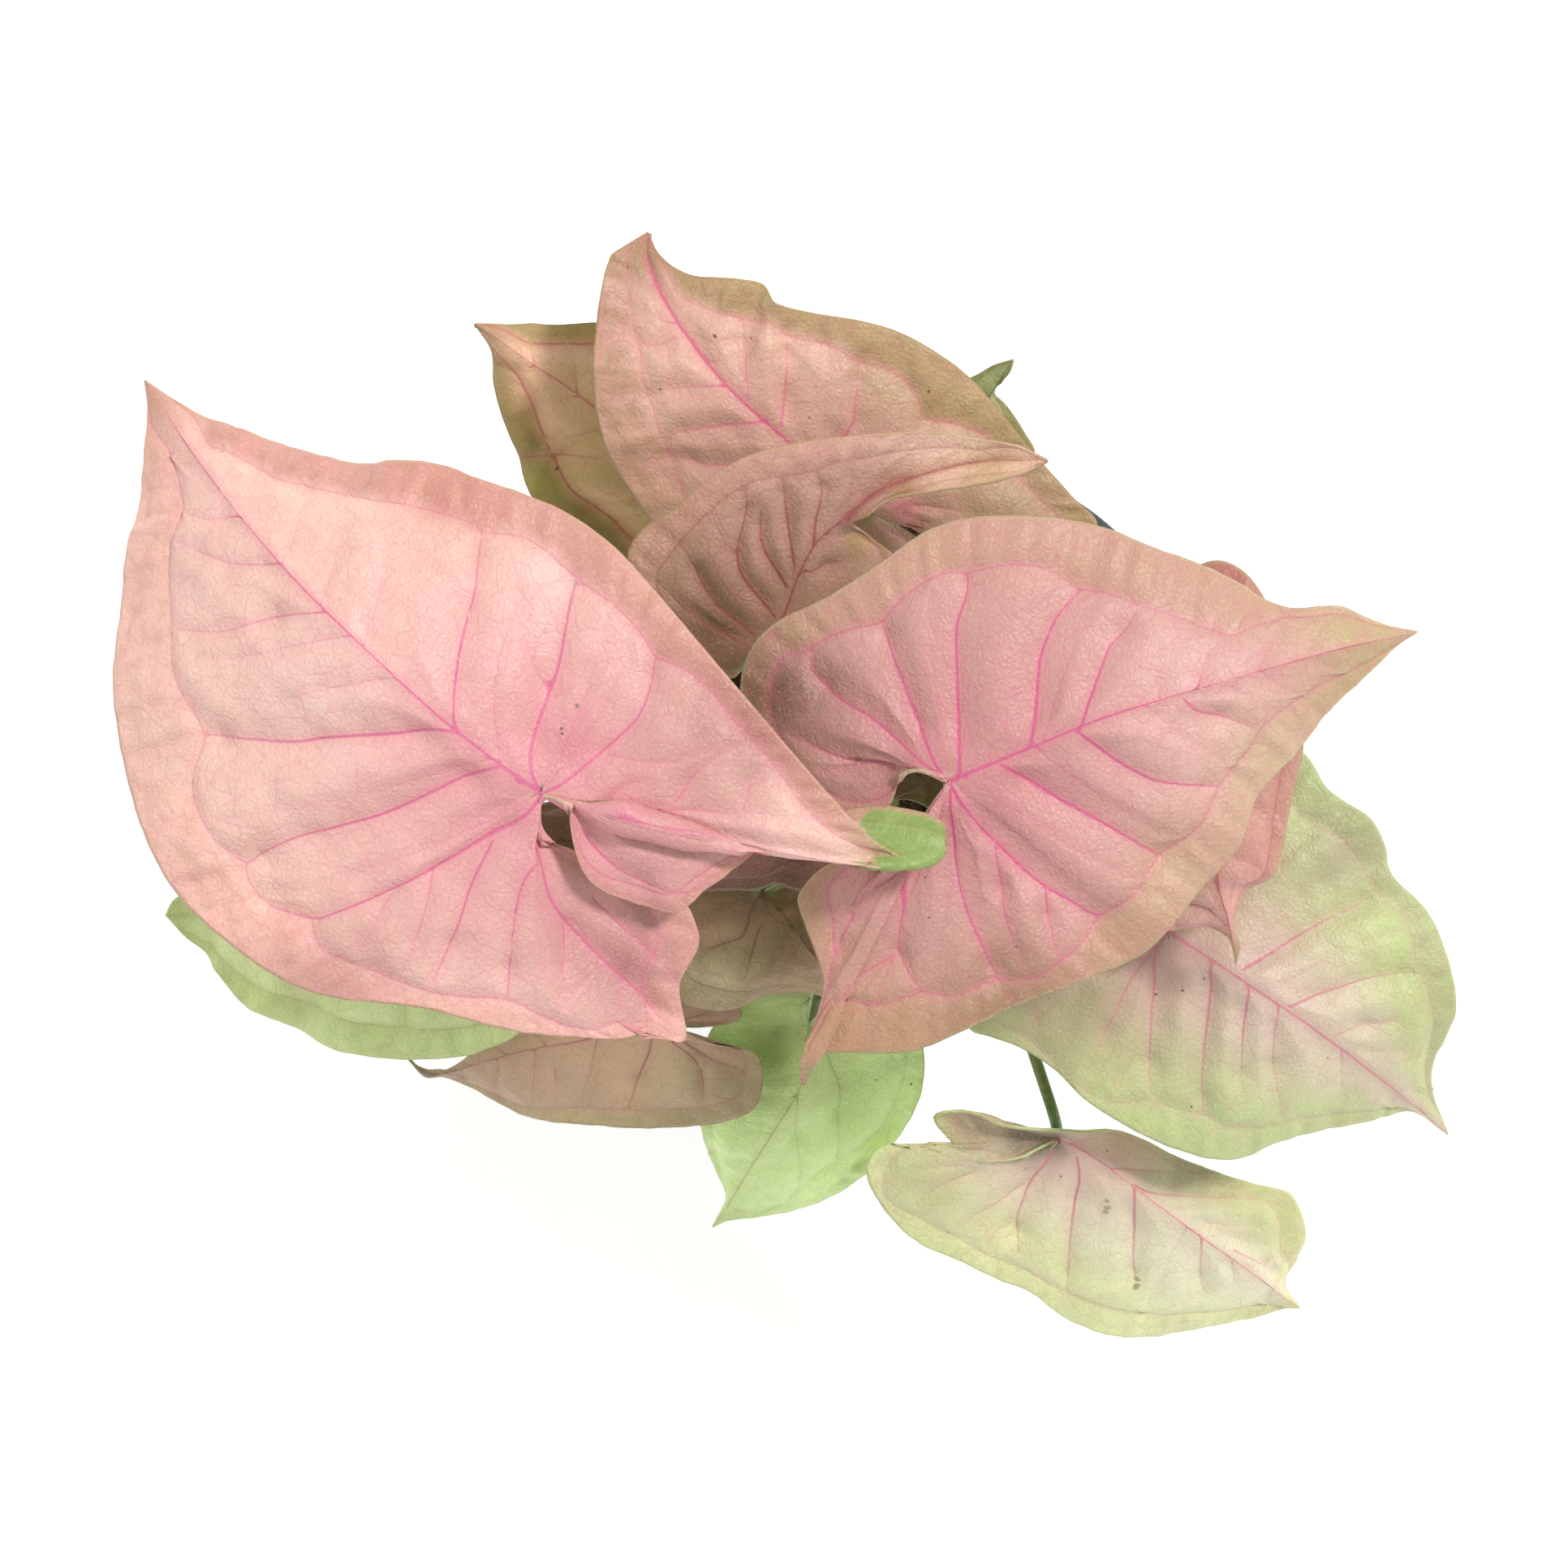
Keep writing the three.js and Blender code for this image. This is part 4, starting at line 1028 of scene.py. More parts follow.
# How far each point rises: furrows along the veins, soft waves between, pleats outside
def relief(points, data, samples, grids, rib_points, leaf, counts, seed, under):
    start = body = len(points) - sum(counts)
    along = np.linspace(0, 1, len(rib_points))
    rib_power = leaf["rib_power"] * (1 - 0.5 * along) * (1 - 0.7 * soft_step(along, 0.8, 1.0))
    away = np.linalg.norm(points - rib_points[0], axis=1)
    gap, power, broad, fine = np.zeros((4, len(points)))
    distance, strength = nearest(points[:body], rib_points, rib_power)
    gap[:body] = vein_gap(distance, strength)
    power[:body] = strength
    broad[:body] = RIB_FURROW * strength
    for side, count in enumerate(counts):
        chosen = np.arange(start, start + count)
        start += count
        own = points[chosen]
        side_powers = samples[side][:, 2]
        side_line = on_grid(grids[side], samples[side][:, 0], samples[side][:, 1])
        distance, strength = nearest(own, np.vstack([side_line, rib_points]),
                                     np.concatenate([side_powers, rib_power]))
        gap[chosen] = vein_gap(distance, strength)
        faded = leaf["lateral"] * strength * (0.62 + 0.38 * bell(away[chosen], leaf["vein_reach"]))
        to_rib, rib_strength = nearest(own, rib_points, rib_power)
        power[chosen] = np.where(to_rib < 1.2, strength, faded)
        broad[chosen] = RIB_FURROW * rib_strength * furrow_shape(to_rib, leaf["furrow"])
        strong = side_powers > STRONG_VEIN
        if strong.any():
            distance, strength = nearest(own, side_line[strong], side_powers[strong])
            joined = strength * (0.22 + 0.78 * soft_step(to_rib, 0.0, 7.0))
            joined = joined * furrow_shape(distance, leaf["furrow"])
            broad[chosen] = np.maximum(broad[chosen], joined)
        if not strong.all():
            distance, strength = nearest(own, side_line[~strong], side_powers[~strong])
            shallow = 0.6 * bell(distance, 2.6) + 0.4 * np.exp(-distance / 0.9)
            fine[chosen] = strength * soft_step(to_rib, 0.0, 3.0) * shallow
    random = np.random.default_rng(seed)
    wave = sum(2.2 * height * soft_wave(points, random, 1.3 * size, 3) for size, height in WAVES)
    calm = soft_step(data["edge"], 0.0, 3.0)
    outer = soft_step(data["band"], -0.5, 3.0) * (0.35 + 0.65 * calm)
    by_notch = (1 - soft_step(away, 12, 26)) * (1 - soft_step(data["edge"], 1.0, 7.0))
    settled = (0.12 + 0.88 * soft_step(away, 1.5, 13.0)) * (1 - 0.92 * by_notch)
    for across, down, reach in leaf["calm"]:
        settled *= 1 - 0.94 * bell(view_distance(points, across, down), reach)
    height = settled * (leaf["depth"] * (-broad - 0.7 * fine) + wave * (0.4 + 0.6 * calm))
    height += leaf["pleat"] * pleats(data["run"], outer, seed) * (1 - by_notch)
    if under:
        height -= UNDER_RIDGE * power * bell(np.maximum(gap, 0), 0.5)
        height -= UNDER_CLEARANCE * np.maximum(broad, fine)
    return height, gap, power


# The colour of each point, from the leaf's colours and patches
def leaf_tint(leaf, points, data, joint, tip, seed):
    colours = leaf["colours"]
    tone = np.tile(srgb(*colours["field"]), (len(points), 1))

    def mix(colour, amount):
        nonlocal tone
        tone = tone + (np.array(srgb(*colour)) - tone) * np.clip(amount, 0, 1)[:, None]
    random = np.random.default_rng(seed)
    drift = sum(soft_wave(points, random, size, 1) / 3 for size in DRIFT_SIZES)
    flecks = sum(soft_wave(points, random, size, 2) for size in FLECK_SIZES)
    near_joint = np.linalg.norm(points - joint, axis=1)
    near_tip = np.linalg.norm(points - tip, axis=1)
    mix(colours["inner"], leaf["inner_share"] * (1 - soft_step(data["row"] + 0.1 * drift, 0.2, 0.75)))
    mix(colours["heart"], 0.9 * bell(near_joint, leaf["heart_reach"]) + 0.08 * drift)
    for side, key in enumerate(("left_band", "right_band")):
        mix(colours[key], 0.85 * soft_step(data["band"] + 1.2 * drift, -1.5, 2.5) * (data["side"] == side))
    mix(colours["tip"], 0.26 * soft_step(data["band"], -3, 4) * soft_step(flecks, 0.0, 1.1))
    mix(colours["tip"], 0.9 * bell(near_tip, leaf["tip_reach"]))
    mix(NOTCH_COLOUR, 0.85 * (1 - soft_step(data["edge"], 0.7, 1.9)) * (1 - soft_step(near_joint, 7, 11)))
    # Patches are soft colour spots. Some are the blade's own colour, and some are painted shade or painted
    # light, as noted at each leaf.
    for across, down, reach, colour, amount in leaf["patches"]:
        mix(colour, amount * bell(view_distance(points, across, down), reach) * (1 + 0.25 * drift))
    return tone


# The skin of a blade, with grain, net, veins, specks and rim over the tint
def leaf_material(name, colours, halo_width, marks):
    skin, shader = new_material(name)
    colours = {key: srgb(*value) for key, value in colours.items()}

    def own_value(attribute, output="Fac"):
        return add_node(skin, "ShaderNodeAttribute", attribute_name=attribute).outputs[output]

    def cells(scale, **settings):
        inputs = {"Vector": bent, "Scale": scale}
        return add_node(skin, "ShaderNodeTexVoronoi", inputs, **settings).outputs["Distance"]

    def times(first, second):
        return combine(skin, "MULTIPLY", first, second)

    def over(amount, colour):
        nonlocal tone
        tone = blend(skin, amount, tone, colour)
    gap, power = own_value("vein_gap"), own_value("vein_power")
    edge, face = own_value("edge_mm"), own_value("upper_face")
    coords = add_node(skin, "ShaderNodeTexCoord").outputs["Object"]
    warp = add_node(skin, "ShaderNodeTexNoise", {"Vector": coords, "Scale": 300.0, "Detail": 2.0})
    bent = add_node(skin, "ShaderNodeMixRGB", {0: WARP, 1: coords, 2: warp.outputs["Color"]},
                    blend_type="ADD").outputs[0]
    mottle = object_noise(skin, 160.0, 5.0, 0.6)
    grain = object_noise(skin, 1500.0, 3.0, 0.65)
    net = cells(260.0, feature="DISTANCE_TO_EDGE")
    fine_net = cells(900.0, feature="DISTANCE_TO_EDGE")

    tone = own_value("tint", "Color")
    over(ramp(skin, mottle, 0.35, 0.68, 0.0, 0.24), colours["mottle"])
    over(ramp(skin, grain, 0.5, 0.68, 0.0, 0.22), colours["light"])
    over(ramp(skin, grain, 0.34, 0.5, 0.22, 0.0), colours["mottle"])
    over(ramp(skin, net, 0.006, 0.04, 0.2, 0.0), colours["vein"])
    over(ramp(skin, fine_net, 0.02, 0.16, 0.08, 0.0), colours["vein"])
    over(times(ramp(skin, gap, -0.1, halo_width, 0.6, 0.0), power), colours["halo"])
    line_power = ramp(skin, power, 0.02, 0.55, 0.0, 0.9)
    over(times(ramp(skin, gap, -0.14, 0.16, 1.0, 0.0), line_power), colours["vein"])
    speck = times(ramp(skin, cells(62.0), 0.02, 0.035, 1.0, 0.0), ramp(skin, mottle, 0.52, 0.56))
    over(times(speck, 0.7), colours["speck"])
    for spot, reach, colour in marks:
        away = add_node(skin, "ShaderNodeVectorMath", {0: bent, 1: spot}, operation="DISTANCE")
        over(ramp(skin, away.outputs["Value"], 0.45 * reach, reach, 0.8, 0.0), srgb(*colour))
    rim_wave = ramp(skin, object_noise(skin, 120.0), 0.3, 0.7, 0.25, 0.85)
    over(times(ramp(skin, edge, 0.15, 0.75, 1.0, 0.0), rim_wave), colours["rim"])
    upper_tone = tone

    tone = colours["under"]
    over(ramp(skin, mottle, 0.3, 0.7, 0.0, 0.4), colours["under_light"])
    over(ramp(skin, net, 0.015, 0.1, 0.35, 0.0), colours["under_light"])
    over(times(ramp(skin, gap, -0.1, 0.5, 0.9, 0.0), power), colours["under_vein"])
    over(ramp(skin, edge, 0.3, 1.6, 0.8, 0.0), colours["rim"])
    over(ramp(skin, face, 0.35, 0.65), upper_tone)
    plug(skin, tone, shader.inputs["Base Color"])
    plug(skin, ramp(skin, grain, 0.2, 0.8, 0.36, 0.5), shader.inputs["Roughness"])
    shader.inputs["Specular IOR Level"].default_value = 0.38
    groove = ramp(skin, net, 0.0, 0.1, 0.0, 0.3)
    pebble = ramp(skin, fine_net, 0.0, 0.35, 0.0, 0.55)
    dents = combine(skin, "ADD", groove, pebble)
    roughen(skin, shader, 0.6, 0.0002, combine(skin, "ADD", dents, times(grain, 0.5)))
    return skin


def grow_layer(leaf, grids, spines, samples, levels, rib_points, joint, tip, seed, under):
    step = 2 if under else 1
    points, faces, chain, data, counts = sheet(leaf, grids, spines, samples, levels, step)
    normals = normals_of(points, faces)
    height, gap, power = relief(points, data, samples, grids, rib_points, leaf, counts, seed, under)
    height += -BLADE_THICKNESS / 2 if under else BLADE_THICKNESS / 2
    upper_face = np.ones(len(points))
    if under:
        upper_face = soft_step(-normals[:, 2], -0.35, -0.05)
        for across, down, reach in leaf["flaps"]:
            upper_face *= soft_step(view_distance(points, across, down), 0.9 * reach, reach)
    return {"points": points + normals * height[:, None], "faces": faces, "chain": chain,
            "vein_gap": gap, "vein_power": power, "edge_mm": data["edge"], "upper_face": upper_face,
            "tint": leaf_tint(leaf, points, data, joint, tip, seed)}


# Builds one blade as a closed shell, its upper face finer than its lower one
def grow_leaf(**own):
    leaf = {**PLAIN_LEAF, **own}
    name = leaf["name"]
    seed = len(name) * 7 + JOINTS[name][0]
    rib = curve([place(JOINTS[name])] + [place(point) for point in leaf["rib"]])
    shares = np.linspace(0, 1, RIB_STEPS + 1)
    run = run_length(rib(shares))
    joint, tip = rib(0.0), rib(1.0)

    def even_rib(share):
        return rib(np.interp(np.asarray(share) * run[-1], run, shares))
    sides = [side_grid(even_rib, run[-1], leaf[key], tip, leaf["cell"]) for key in ("left", "right")]
    grids, spines = zip(*sides)
    samples, levels = vein_samples(leaf, grids)
    rib_points = even_rib(np.linspace(0, 1, int(run[-1] / RIB_SPACING)))
    top, bottom = (grow_layer(leaf, grids, spines, samples, levels, rib_points, joint, tip, seed, under)
                   for under in (False, True))
    first = len(top["points"])
    faces = top["faces"] + [(first + a, first + c, first + b) for a, b, c in bottom["faces"]]
    lower_chain = [first + index for index in bottom["chain"]]
    for k, (low, high) in enumerate(zip(lower_chain, lower_chain[1:])):
        a, b, c = top["chain"][2 * k:2 * k + 3]
        faces += [(b, a, low), (c, b, high), (b, low, high)]
    marks = []
    for across, down, reach, colour in leaf["marks"]:
        far = view_distance(top["points"], across, down)
        height = top["points"][:, 2]
        open_face = (far < MARK_SEARCH) & (height > height[far < MARK_SEARCH].max() - SAME_LAYER)
        spot = top["points"][np.where(open_face, far, 1e9).argmin()] / 1000 + WARP_SHIFT
        marks.append((tuple(spot), reach / 1000, colour))
    skin = leaf_material(name + "_skin", leaf["colours"], leaf["halo_width"], marks)
    both = {key: np.concatenate([top[key], bottom[key]]) for key in top if key not in ("faces", "chain")}
    piece = new_piece(name + "_blade", both["points"] / 1000, faces, skin)
    for key in ("vein_gap", "vein_power", "edge_mm", "upper_face"):
        piece.data.attributes.new(key, "FLOAT", "POINT").data.foreach_set("value", both[key])
    tint = piece.data.attributes.new("tint", "FLOAT_COLOR", "POINT")
    tint.data.foreach_set("color", both["tint"].ravel())
    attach(piece, "root")
    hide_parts(name)


grow_leaf(
    name="leaf_left_large", slot="leaf_pink",
    rib=[(560, 900, 236), (450, 800, 237), (350, 700, 232), (260, 590, 220), (178, 468, 203)],
    left=[
        (665, 1040, 226, 659, 1008, 229), (698, 1044, 223, 666, 1030, 227),
        (745, 1066, 220, 677, 1042, 225), (795, 1086, 219, 687, 1060, 224),
        (840, 1108, 218, 696, 1081, 223), (858, 1140, 217, 700, 1104, 222),
        (860, 1168, 216, 700, 1124, 222), (838, 1215, 215, 694, 1146, 222),
        (845, 1282, 212, 694, 1178, 221), (800, 1273, 214, 683, 1180, 222),
        (750, 1281, 216, 669, 1182, 223), (640, 1271, 219, 652, 1132, 227), (520, 1242, 222),
        (400, 1226, 221), (320, 1190, 222), (230, 1115, 218), (188, 1050, 219), (160, 970, 215),
        (140, 850, 215), (150, 740, 211), (157, 675, 211), (172, 625, 208), (178, 550, 208)],
    right=[
        (706, 990, 232, 688, 983, 232), (703, 1014, 231, 697, 992, 232), (708, 1046, 229, 705, 1004, 231),
        (722, 1080, 227, 716, 1018, 230), (750, 1103, 225, 735, 1030, 229),
        (800, 1119, 224, 760, 1040, 229), (836, 1124, 224, 780, 1042, 229),
        (872, 1096, 224, 800, 1036, 229), (908, 1068, 222, 820, 1028, 229),
        (938, 1044, 219, 845, 1022, 229), (1000, 1010, 216, 900, 1036, 228),
        (1060, 994, 215, 958, 1052, 227), (1121, 997, 215, 1012, 1062, 226),
        (1163, 1014, 216, 1046, 1066, 226), (1152, 1043, 217, 1036, 1064, 227),
        (1130, 1058, 219, 1000, 1056, 228), (1116, 1059, 222, 950, 1040, 229),
        (1092, 1046, 225, 905, 1018, 231), (1058, 1018, 227), (1000, 954, 229), (940, 884, 231),
        (870, 802, 231), (800, 720, 229), (755, 672, 229), (700, 633, 227), (640, 607, 226),
        (590, 590, 225), (545, 573, 222), (490, 567, 222), (445, 572, 218), (390, 560, 217),
        (340, 545, 212), (300, 530, 212), (255, 513, 208), (222, 493, 207)],
    calm=[(668, 1075, 50), (690, 1000, 34), (652, 1158, 34)],
    flaps=[(1116, 1030, 56)],
    cell=0.72, band_share=0.88, lateral=0.95, rib_power=1.0, vein_reach=40, halo_width=2.4,
    inner_share=0.4, furrow=4.7, depth=2.9, pleat=0.24, heart_reach=34, tip_reach=14,
    collective=[
        [(253, 545), (291, 556), (331, 582), (377, 595), (437, 611), (471, 615), (517, 624), (577, 640),
         (593, 653), (643, 659), (669, 675), (692, 692), (708, 712), (749, 738), (792, 781), (807, 810),
         (844, 822), (881, 858), (919, 907), (950, 929)],
        [(203, 548), (222, 613), (222, 634), (206, 688), (209, 765), (210, 814), (219, 849), (249, 907),
         (235, 955), (238, 986), (262, 1035), (302, 1068), (302, 1084), (331, 1117), (382, 1133),
         (382, 1150), (400, 1174), (434, 1188), (520, 1221), (577, 1230), (627, 1233), (675, 1257),
         (704, 1270)]],
    veins=[
        (0.8, [(595, 925), (563, 898), (560, 864), (564, 824), (570, 787), (585, 729), (590, 683),
            (594, 655)]),
        (0.9, [(667, 978), (655, 953), (656, 921), (666, 887), (678, 850), (689, 815), (699, 758),
            (708, 715)]),
        (0.8, [(667, 978), (695, 964), (732, 933), (772, 898), (787, 881), (798, 855), (804, 830),
            (807, 810)]),
        (0.45, [(667, 978), (704, 995), (738, 1000), (790, 1003), (833, 998), (873, 1000), (907, 1002),
            (950, 1003)]),
        (0.45, [(833, 989), (856, 955), (881, 934), (907, 920), (922, 912)]),
        (0.4, [(916, 999), (924, 972), (936, 955), (950, 937)]),
        (0.4, [(735, 995), (769, 969), (792, 963)]),
        (0.6, [(761, 1003), (807, 1018), (864, 1033), (930, 1045)]),
        (0.6, [(721, 1023), (732, 1043), (749, 1063), (772, 1081), (795, 1092), (838, 1102), (864, 1095)]),
        (0.3, [(618, 939), (609, 858), (615, 815), (626, 778), (638, 752), (638, 726), (632, 712)]),
        (0.3, [(675, 847), (652, 801), (638, 752)]),
        (0.3, [(576, 755), (552, 718)]),
        (0.35, [(747, 929), (810, 940), (884, 926)]),
        (0.45, [(291, 634), (250, 638), (225, 631)]),
        (0.5, [(342, 694), (288, 694), (256, 684), (216, 665)]),
        (0.55, [(402, 754), (331, 760), (273, 777), (209, 774)]),
        (0.35, [(428, 783), (359, 796), (288, 811), (245, 813)]),
        (0.35, [(483, 836), (431, 843), (351, 860)]),
        (0.85, [(557, 903), (531, 900), (488, 906), (402, 910), (359, 915), (302, 912), (249, 907)]),
        (0.85, [(640, 965), (620, 945), (577, 960), (520, 986), (474, 1006), (405, 1025), (348, 1041),
            (302, 1068)]),
        (0.95, [(667, 978), (649, 1003), (612, 1026), (549, 1066), (514, 1084), (460, 1107), (405, 1127),
            (382, 1132), (331, 1117)]),
        (0.4, [(534, 1077), (523, 1124), (506, 1175), (494, 1201)]),
        (0.35, [(483, 1104), (460, 1144), (434, 1187)]),
        (0.7, [(606, 1038), (580, 1092), (563, 1144), (534, 1210)]),
        (0.75, [(667, 1035), (663, 1061), (646, 1086), (635, 1129), (629, 1187), (626, 1230)]),
        (0.85, [(667, 1040), (665, 1052), (678, 1104), (715, 1152), (752, 1192), (790, 1227), (815, 1258)]),
        (0.45, [(699, 1141), (696, 1201), (694, 1235)]),
        (0.35, [(767, 1213), (767, 1256)]),
        (0.5, [(732, 1109), (769, 1144), (807, 1178), (835, 1213), (841, 1261)])],
    marks=[(709, 871, 0.6, (128, 114, 86)), (693, 897, 0.4, (72, 54, 42)), (694, 904, 0.4, (72, 54, 42))],
    # The three pale patches on the left half are painted light that offsets the shade on that half, which
    # faces away from the main lamp.
    patches=[
        (185, 900, 90, (250, 212, 194), 0.7), (300, 780, 120, (246, 208, 192), 0.5),
        (400, 870, 70, (250, 218, 206), 0.5), (700, 915, 30, (206, 112, 138), 0.6),
        (560, 606, 80, (204, 140, 118), 0.55), (905, 905, 110, (162, 108, 96), 0.68),
        (420, 1190, 80, (184, 126, 118), 0.58), (780, 1180, 100, (160, 94, 98), 0.72),
        (820, 1060, 60, (208, 144, 148), 0.5), (1116, 1030, 60, (158, 176, 108), 0.9)],
    colours=dict(
        field=(250, 211, 194), inner=(242, 194, 182), heart=(224, 154, 160), left_band=(250, 198, 180),
        right_band=(210, 152, 134), tip=(186, 146, 104), mottle=(226, 160, 150), light=(250, 222, 210),
        vein=(222, 116, 152), halo=(230, 152, 160), speck=(120, 88, 66), rim=(222, 178, 150),
        under=(146, 170, 96), under_light=(174, 194, 122), under_vein=(196, 200, 150)))

# Large leaf on the right
# The same kind of thin satin blade in a duller rose with tan margins, a little lower. Its basal lobes
# are pinched together at the notch, and its upper margin rolls back.
grow_leaf(
    name="leaf_right_large", slot="leaf_pink",
    rib=[(1270, 922, 216), (1360, 885, 218), (1500, 842, 216), (1640, 803, 209), (1748, 778, 200)],
    left=[
        (1107, 953, 211, 1137, 948, 213), (1103, 975, 208, 1126, 949, 212),
        (1088, 1002, 206, 1108, 951, 211), (1050, 1015, 205, 1090, 951, 210),
        (1000, 1000, 204, 1074, 946, 210), (950, 960, 204, 1060, 938, 210),
        (920, 900, 204, 1052, 925, 210), (912, 850, 204), (925, 800, 205), (960, 765, 206),
        (1020, 735, 208), (1090, 690, 210), (1140, 655, 211), (1200, 637, 212), (1290, 638, 212),
        (1360, 650, 210), (1420, 675, 210), (1470, 692, 207), (1520, 715, 206), (1565, 742, 204),
        (1600, 748, 205), (1650, 745, 204), (1695, 762, 202)],
    right=[
        (1150, 1003, 211, 1160, 983, 212), (1135, 1035, 210, 1155, 1003, 212),
        (1095, 1055, 209, 1141, 1022, 211), (1050, 1061, 208, 1124, 1040, 210),
        (1015, 1068, 207, 1108, 1050, 210), (985, 1100, 205, 1096, 1064, 209),
        (987, 1125, 204, 1098, 1078, 209), (1003, 1172, 203), (1013, 1212, 202),
        (1000, 1262, 200, 1082, 1116, 209), (986, 1312, 198, 1081, 1139, 208),
        (991, 1338, 197, 1087, 1146, 208), (1014, 1300, 198, 1099, 1137, 208), (1060, 1297, 200),
        (1110, 1297, 202), (1150, 1286, 202), (1195, 1266, 204), (1250, 1240, 204), (1320, 1213, 206),
        (1400, 1180, 204), (1440, 1145, 206), (1480, 1095, 205), (1525, 1045, 206), (1550, 980, 204),
        (1595, 930, 204), (1640, 873, 202), (1700, 820, 201)],
    calm=[(1135, 950, 30), (1072, 1100, 34)],
    cell=0.72, band_share=0.86, lateral=0.95, rib_power=1.0, vein_reach=40, halo_width=2.4,
    inner_share=0.4, furrow=4.4, depth=3.05, heart_reach=30, tip_reach=24,
    collective=[
        [(952, 802), (995, 806), (1003, 792), (1023, 783), (1049, 773), (1085, 766), (1101, 746),
         (1118, 730), (1138, 717), (1158, 706), (1175, 703), (1192, 706), (1224, 697), (1255, 695),
         (1290, 699), (1324, 719), (1332, 726), (1358, 727), (1412, 746), (1472, 764), (1526, 784)],
        [(1000, 1265), (1013, 1229), (1039, 1232), (1079, 1240), (1139, 1223), (1159, 1229), (1183, 1227),
         (1203, 1218), (1230, 1210), (1253, 1211), (1288, 1202), (1306, 1185), (1330, 1170), (1344, 1152),
         (1354, 1134), (1371, 1123), (1400, 1104), (1409, 1090), (1433, 1058), (1466, 1033), (1490, 1006),
         (1508, 972), (1520, 949), (1547, 916), (1551, 901), (1580, 877), (1634, 844), (1691, 818)]],
    veins=[
        (0.9, [(1170, 962), (1182, 955), (1180, 890), (1178, 821), (1178, 772), (1190, 735), (1192, 720),
            (1191, 706)]),
        (0.85, [(1170, 962), (1158, 950), (1144, 924), (1132, 895), (1121, 867), (1109, 835), (1092, 789),
            (1085, 768)]),
        (0.75, [(1170, 962), (1138, 941), (1118, 924), (1072, 884), (1043, 867), (1020, 849), (1003, 829),
            (996, 806)]),
        (0.55, [(1101, 947), (1049, 942), (1023, 930), (975, 908), (957, 904)]),
        (0.35, [(1098, 947), (1055, 947), (1012, 950)]),
        (0.9, [(1268, 921), (1273, 895), (1280, 826), (1284, 803), (1301, 763), (1316, 743), (1332, 726)]),
        (0.75, [(1329, 904), (1346, 850), (1364, 802), (1373, 787), (1391, 769), (1400, 754)]),
        (0.35, [(1430, 865), (1431, 832)]),
        (0.5, [(1476, 850), (1487, 811), (1496, 796)]),
        (0.9, [(1235, 944), (1258, 958), (1310, 990), (1370, 1022), (1433, 1058)]),
        (0.8, [(1331, 905), (1376, 940), (1415, 961), (1445, 967), (1508, 970)]),
        (0.6, [(1460, 863), (1478, 878), (1520, 889), (1550, 899)]),
        (0.35, [(1520, 847), (1532, 856)]),
        (0.95, [(1171, 967), (1194, 1003), (1233, 1041), (1280, 1085), (1332, 1119), (1354, 1133)]),
        (0.85, [(1171, 970), (1171, 1003), (1173, 1032), (1177, 1067), (1192, 1120), (1215, 1173),
            (1231, 1208)]),
        (0.55, [(1228, 1044), (1230, 1067), (1237, 1126), (1249, 1161), (1259, 1185)]),
        (0.55, [(1291, 1097), (1297, 1144), (1306, 1185)]),
        (0.7, [(1140, 1020), (1123, 1066), (1111, 1117), (1104, 1168), (1110, 1188), (1124, 1208),
            (1139, 1223)]),
        (0.5, [(1101, 1176), (1089, 1185), (1068, 1199), (1024, 1243), (1004, 1270)]),
        (0.35, [(1098, 1182), (1083, 1223), (1079, 1243)]),
        (0.6, [(1098, 1067), (1068, 1100), (1054, 1123), (1039, 1149), (1027, 1176), (1013, 1229),
            (1001, 1267)]),
        (0.35, [(1051, 1123), (1019, 1132)]),
        (0.35, [(1048, 1079), (1004, 1094)])],
    marks=[
        (1140, 1078, 0.35, (70, 56, 44)), (1147, 1130, 0.3, (80, 64, 50)), (1254, 1167, 0.3, (80, 64, 50))],
    # The dark brown patch at the tip of the upper left lobe is painted shade for the crevice where this
    # leaf meets the largest leaf and the folded one.
    patches=[
        (1480, 900, 110, (236, 196, 186), 0.6), (1560, 930, 60, (220, 200, 158), 0.7),
        (1250, 655, 70, (208, 162, 142), 0.6), (1460, 1070, 70, (210, 182, 148), 0.7),
        (1050, 1190, 60, (192, 150, 126), 0.5), (1150, 1140, 60, (190, 156, 142), 0.4),
        (1100, 1280, 70, (184, 158, 108), 0.85), (1240, 1225, 80, (156, 128, 92), 0.85),
        (950, 860, 76, (96, 64, 42), 0.82), (1040, 1285, 60, (196, 156, 112), 0.8),
        (1002, 1324, 15, (118, 142, 80), 0.9), (1690, 785, 60, (192, 180, 122), 0.7)],
    colours=dict(
        field=(216, 171, 158), inner=(226, 168, 168), heart=(204, 142, 142), left_band=(200, 158, 130),
        right_band=(188, 154, 116), tip=(192, 182, 122), mottle=(206, 146, 140), light=(240, 206, 196),
        vein=(214, 100, 142), halo=(220, 138, 148), speck=(110, 80, 60), rim=(206, 188, 146),
        under=(128, 148, 80), under_light=(160, 176, 108), under_vein=(192, 196, 146)))

